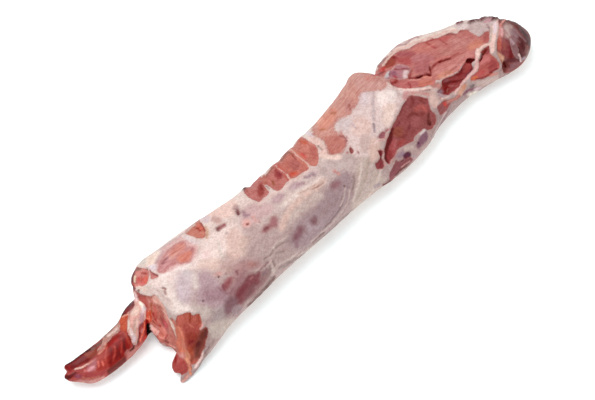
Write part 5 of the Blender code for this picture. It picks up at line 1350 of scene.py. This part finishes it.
def out_of_the_light(colours, normals, room):
    """Colours seen on the lit skin, as they are without the studio's light."""
    light = np.clip(LIGHT_LEVEL + normals @ np.array(LIGHT_TILT), LEAST_LIGHT, None)
    lit = room[:, None] + (1.0 - room[:, None]) * np.array(FLESH_BOUNCE)
    return np.clip((colours - SHEEN) / (light[:, None] * lit), DARKEST, BRIGHTEST)


def unseen_side(points):
    """Colours for the sides that the photograph doesn't show: a fat cap below, bands of muscle above it."""
    broad = waves(points * BAND_STRETCH, BAND, seed=3.0)
    fine = waves(points, BLOTCH, seed=8.0)
    peach = ease(fine, *CAP_TONES)[:, None]
    rose = ease(broad, *BAND_TONES)[:, None]
    rise = BAND_RISE * ease(points[:, 2], *BAND_LEVELS)
    return {
        "cover": linear(CREAM) + peach * (linear(PEACH) - linear(CREAM)),
        "lean": linear(BLOCK_LEAN) + rose * (linear(ROSE_LEAN) - linear(BLOCK_LEAN)),
        "bare": np.clip(BAND_SWING * broad + BLOTCH_SWING * fine + rise - BAND_DROP, -REACH, REACH),
        "rise": np.zeros(len(points)),
        "grain": along_grain(points, LOIN_GRAIN),
    }


def carry_round(layers, fallback, mesh, seen):
    """What is painted at the horizon runs on round it and fades into the unseen sides."""
    points = points_of(mesh)
    edges = edges_of(mesh)
    shown = np.nonzero(seen > WELL_SEEN)[0]
    tree = kdtree.KDTree(len(shown))
    for index in shown:
        tree.insert(Vector(points[index]), int(index))
    tree.balance()
    source = np.arange(len(points))
    distance = np.zeros(len(points))
    for index in np.nonzero(seen <= WELL_SEEN)[0]:
        _, source[index], distance[index] = tree.find(Vector(points[index]))
    keep = 1.0 - ease(distance, *CARRIED)
    hidden = ease(distance, 0.0, SOFT_HORIZON)
    mixed = {"grain": np.where(hidden[:, None] > 0, fallback["grain"], layers["grain"])}
    for name in ("cover", "lean", "bare", "rise"):
        share = beside(keep, layers[name])
        value = share * layers[name][source] + (1 - share) * fallback[name]
        value += beside(hidden, value) * (level_with_neighbours(value, edges, CARRY_ROUNDS) - value)
        mixed[name] = value
    return mixed


def lay_relief(mesh, layers):
    """Muscle lies a little lower than the fat round it, cuts go deep, and neither is smooth."""
    points = points_of(mesh)
    normals = normals_of(mesh)
    bare = layers["bare"]
    depth = ease(bare, -EDGE_SLOPE, EDGE_SLOPE)
    lip = np.exp(-((bare - LIP_PLACE) / LIP_WIDTH) ** 2)
    lumps = waves(points, LUMP, seed=5.0) + SMALL_LUMP_SHARE * waves(points, SMALL_LUMP, seed=6.0)
    fibres = waves(points * RIDGE_STRETCH, RIDGE, seed=9.0)
    height = FAT_LIP * lip - LEAN_SINK * depth + FAT_LUMPS * (1 - LEAN_EVENNESS * depth) * lumps
    height += FIBRE_RIDGES * depth * fibres
    height = level_with_neighbours(height, edges_of(mesh), RELIEF_ROUNDS) + layers["rise"]
    above_base = ease(points[:, 2], *FLAT_BASE)
    write_in(mesh.vertices, "co", points + (MM * height * above_base)[:, None] * normals)
    mesh.update()


def store_paint(mesh, name, colours):
    opaque = np.column_stack([colours, np.ones(len(colours))])
    write_in(mesh.color_attributes.new(name, "FLOAT_COLOR", "POINT").data, "color", opaque)


class Wire:
    """A socket that takes part in sums, so that shader maths reads as maths."""

    def __init__(self, shader, socket):
        self.shader = shader
        self.socket = socket

    def _math(self, operation, *values):
        return self.shader.node("ShaderNodeMath", {"operation": operation}, dict(enumerate(values)))

    def __add__(self, other):
        return self._math("ADD", self, other)

    def __sub__(self, other):
        return self._math("SUBTRACT", self, other)

    def __rsub__(self, other):
        return self._math("SUBTRACT", other, self)

    def __mul__(self, other):
        return self._math("MULTIPLY", self, other)

    def __abs__(self):
        return self._math("ABSOLUTE", self)

    __radd__ = __add__
    __rmul__ = __mul__

    def step(self, low, high):
        """0 at low, 1 at high, smooth between."""
        return self.shader.node("ShaderNodeMapRange", {"interpolation_type": "SMOOTHSTEP"},
                                {"Value": self, "From Min": low, "From Max": high})


class Shader:
    """One material, built from wires."""

    def __init__(self, name):
        self.material = bpy.data.materials.new(name)
        self.material.use_nodes = True
        self.tree = self.material.node_tree
        self.surface = self.tree.nodes["Principled BSDF"]

    def node(self, kind, settings=None, inputs=None, output=0):
        made = self.tree.nodes.new(kind)
        for name, value in (settings or {}).items():
            setattr(made, name, value)
        for name, value in (inputs or {}).items():
            self.plug(made.inputs[name], value)
        return Wire(self, made.outputs[output])

    def plug(self, socket, value):
        if isinstance(value, Wire):
            self.tree.links.new(value.socket, socket)
        else:
            socket.default_value = value

    def place(self):
        return self.node("ShaderNodeTexCoord", output="Object")

    def painted(self, name, output="Color"):
        return self.node("ShaderNodeAttribute", {"attribute_name": name}, output=output)

    def stretched(self, place, turn, scale):
        """The pattern's coordinates, turned about Z and scaled along each axis."""
        return self.node("ShaderNodeMapping", {"vector_type": "TEXTURE"},
                         {"Vector": place, "Rotation": (0.0, 0.0, turn), "Scale": scale})

    def cloud(self, place, size, detail=2.0, roughness=0.5):
        """Soft noise, 0 to 1, of that size in metres."""
        return self.node("ShaderNodeTexNoise", {}, {"Vector": place, "Scale": 1.0 / size, "Detail": detail,
                                                    "Roughness": roughness})

    def mix(self, share, first, second, blend="MIX"):
        inputs = {0: share, 6: first, 7: second}
        return self.node("ShaderNodeMix", {"data_type": "RGBA", "blend_type": blend}, inputs, output=2)

    def steeped(self, paint, factors):
        """The paint with its red, green and blue multiplied by these factors."""
        return self.mix(1.0, paint, factors, "MULTIPLY")

    def finish(self, **values):
        for name, value in values.items():
            self.plug(self.surface.inputs[name.replace("_", " ")], value)
        return self.material


def lean_colour(shader, fibre, strand, mottle, granule):
    """Painted muscle with its pale and deep fibres, and painted shade along its border, where it lies below
    the fat.
    """
    light = (0.4 * fibre + 0.25 * strand + 0.2 * mottle + 0.15 * granule).step(*LEAN_TONES)
    paint_coat = shader.painted("lean_paint")
    tone = shader.mix(light, shader.steeped(paint_coat, DEEP_LEAN_AND_EDGE_SHADE), shader.steeped(paint_coat, PALE_LEAN))
    # Painted shade along the muscle's sunken border.
    border = shader.painted("bare", "Fac").step(*LEAN_EDGE_SHADE)
    return shader.mix(0.35 * border, tone, shader.steeped(tone, DEEP_LEAN_AND_EDGE_SHADE))


def cover_colour(shader, wisp, cross_wisp, mottle, speck, thread):
    """Painted fat and silverskin with their mottle and white threads, rosy along the muscle's border."""
    light = (0.16 * mottle + 0.24 * wisp + 0.2 * cross_wisp + 0.4 * speck).step(*COVER_TONES)
    paint_coat = shader.painted("cover_paint")
    tone = shader.mix(light, shader.steeped(paint_coat, ROSY_FAT), shader.steeped(paint_coat, PALE_FAT))
    tone = shader.mix(0.4 * thread, tone, shader.steeped(tone, WHITE_THREAD))
    border = shader.painted("bare", "Fac").step(*COVER_BORDER)
    return shader.mix(0.3 * border, tone, shader.steeped(tone, ROSY_FAT))


def raw_pork_finish():
    """Wet muscle and its moist fat, told apart by the painted edge of the muscle."""
    shader = Shader("raw_pork")
    place = shader.place()
    grain = shader.painted("grain", "Vector")
    fibre = shader.cloud(grain, *FIBRE)
    strand = shader.cloud(grain, *STRAND)
    mottle = shader.cloud(place, *MOTTLE)
    granule = shader.cloud(place, *GRANULE)
    speck = shader.cloud(place, *SPECK)
    ragged = 0.6 * speck + 0.4 * strand - 0.5
    bare = (shader.painted("bare", "Fac") + RAGGEDNESS * ragged).step(*MUSCLE_EDGE)

    skin_run = shader.stretched(place, SKIN_RUN, SKIN_STRETCH)
    wisp = shader.cloud(skin_run, *WISP)
    cross_wisp = shader.cloud(shader.stretched(place, CROSS_RUN, CROSS_STRETCH), *CROSS_WISP)
    sheet = shader.cloud(skin_run, *SHEET)
    thread = abs(sheet - 0.5).step(*THREAD_EDGE) * mottle.step(*THREAD_PATCHES)

    lean_tone = lean_colour(shader, fibre, strand, mottle, granule)
    cover_tone = cover_colour(shader, wisp, cross_wisp, mottle, speck, thread)
    relief = 0.5 * fibre * bare + 0.2 * granule + 0.35 * mottle + 0.3 * wisp + 0.2 * thread
    normal = shader.node("ShaderNodeBump", {}, {"Height": relief, "Strength": 0.45, "Distance": 0.8 * MM})
    return shader.finish(
        Base_Color=shader.mix(bare, cover_tone, lean_tone),
        Roughness=0.4 + 0.2 * mottle - 0.06 * bare,
        Normal=normal,
        Specular_IOR_Level=0.0,
        Subsurface_Weight=0.05,
        Subsurface_Radius=(1.0, 0.35, 0.25),
        Subsurface_Scale=2.0 * MM,
        Coat_Weight=(0.2 + 0.2 * bare * strand) * (1.0 - shader.painted("hollow", "Fac")),
        Coat_Roughness=0.3,
    )


def dress_loin():
    """The painted skin, which stands for the solid."""
    skin = make_skin()
    mesh = skin.data
    points = points_of(mesh)
    normals = normals_of(mesh)
    seen = seen_by_camera(mesh)
    room = level_with_neighbours(room_in_view(mesh, seen), edges_of(mesh), ROOM_ROUNDS)
    layers = carry_round(paint(points), unseen_side(points), mesh, seen)
    lay_relief(mesh, layers)
    store_paint(mesh, "cover_paint", out_of_the_light(layers["cover"], normals, room))
    store_paint(mesh, "lean_paint", out_of_the_light(layers["lean"], normals, room))
    hollow = np.clip(-layers["rise"], 0.0, 1.0)
    write_in(mesh.attributes.new("bare", "FLOAT", "POINT").data, "value", layers["bare"])
    write_in(mesh.attributes.new("hollow", "FLOAT", "POINT").data, "value", hollow)
    write_in(mesh.attributes.new("grain", "FLOAT_VECTOR", "POINT").data, "vector", layers["grain"])
    mesh.materials.clear()
    mesh.materials.append(raw_pork_finish())
    make_active(skin)
    bpy.ops.object.shade_smooth()
    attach(skin, "root")
    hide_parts("pork_loin")


def set_stage():
    """A white floor under soft light that comes from beyond the loin and above."""
    deselect_all()
    bpy.ops.mesh.primitive_plane_add(size=FLOOR_SIZE, location=(0.0, 0.0, -FLOOR_DROP))
    floor = bpy.context.object
    floor.name = "floor"
    shader = Shader("white_floor")
    speckle = shader.cloud(shader.place(), FLOOR_SPECKLE)
    floor.data.materials.append(shader.finish(
        Base_Color=shader.mix(speckle, colour(FLOOR_WHITE), colour(FLOOR_BRIGHT_WHITE)), Roughness=0.9,
        Specular_IOR_Level=0.0, Emission_Color=colour(FLOOR_GLOW), Emission_Strength=FLOOR_GLOW_STRENGTH))

    world = bpy.data.worlds.new("studio")
    bpy.context.scene.world = world
    world.use_nodes = True
    backdrop = world.node_tree.nodes["Background"]
    backdrop.inputs["Color"].default_value = STUDIO_WHITE
    backdrop.inputs["Strength"].default_value = STUDIO_STRENGTH

    bpy.ops.object.light_add(type="AREA", location=KEY_PLACE)
    light = bpy.context.object
    light.name = "key"
    light.data.size = KEY_SIZE
    light.data.energy = KEY_POWER
    light.rotation_euler = (-Vector(KEY_PLACE)).to_track_quat("-Z", "Y").to_euler()
    bpy.context.scene.view_settings.view_transform = "Standard"


def set_camera():
    bpy.ops.object.camera_add(location=EYE)
    camera = bpy.context.object
    camera.name = "photo_camera"
    camera.rotation_euler = Matrix((RIGHT, UP, BACK)).transposed().to_euler()
    camera.data.lens = LENS_MM
    camera.data.sensor_width = SENSOR_MM
    bpy.context.scene.camera = camera


set_camera()
dress_loin()
set_stage()
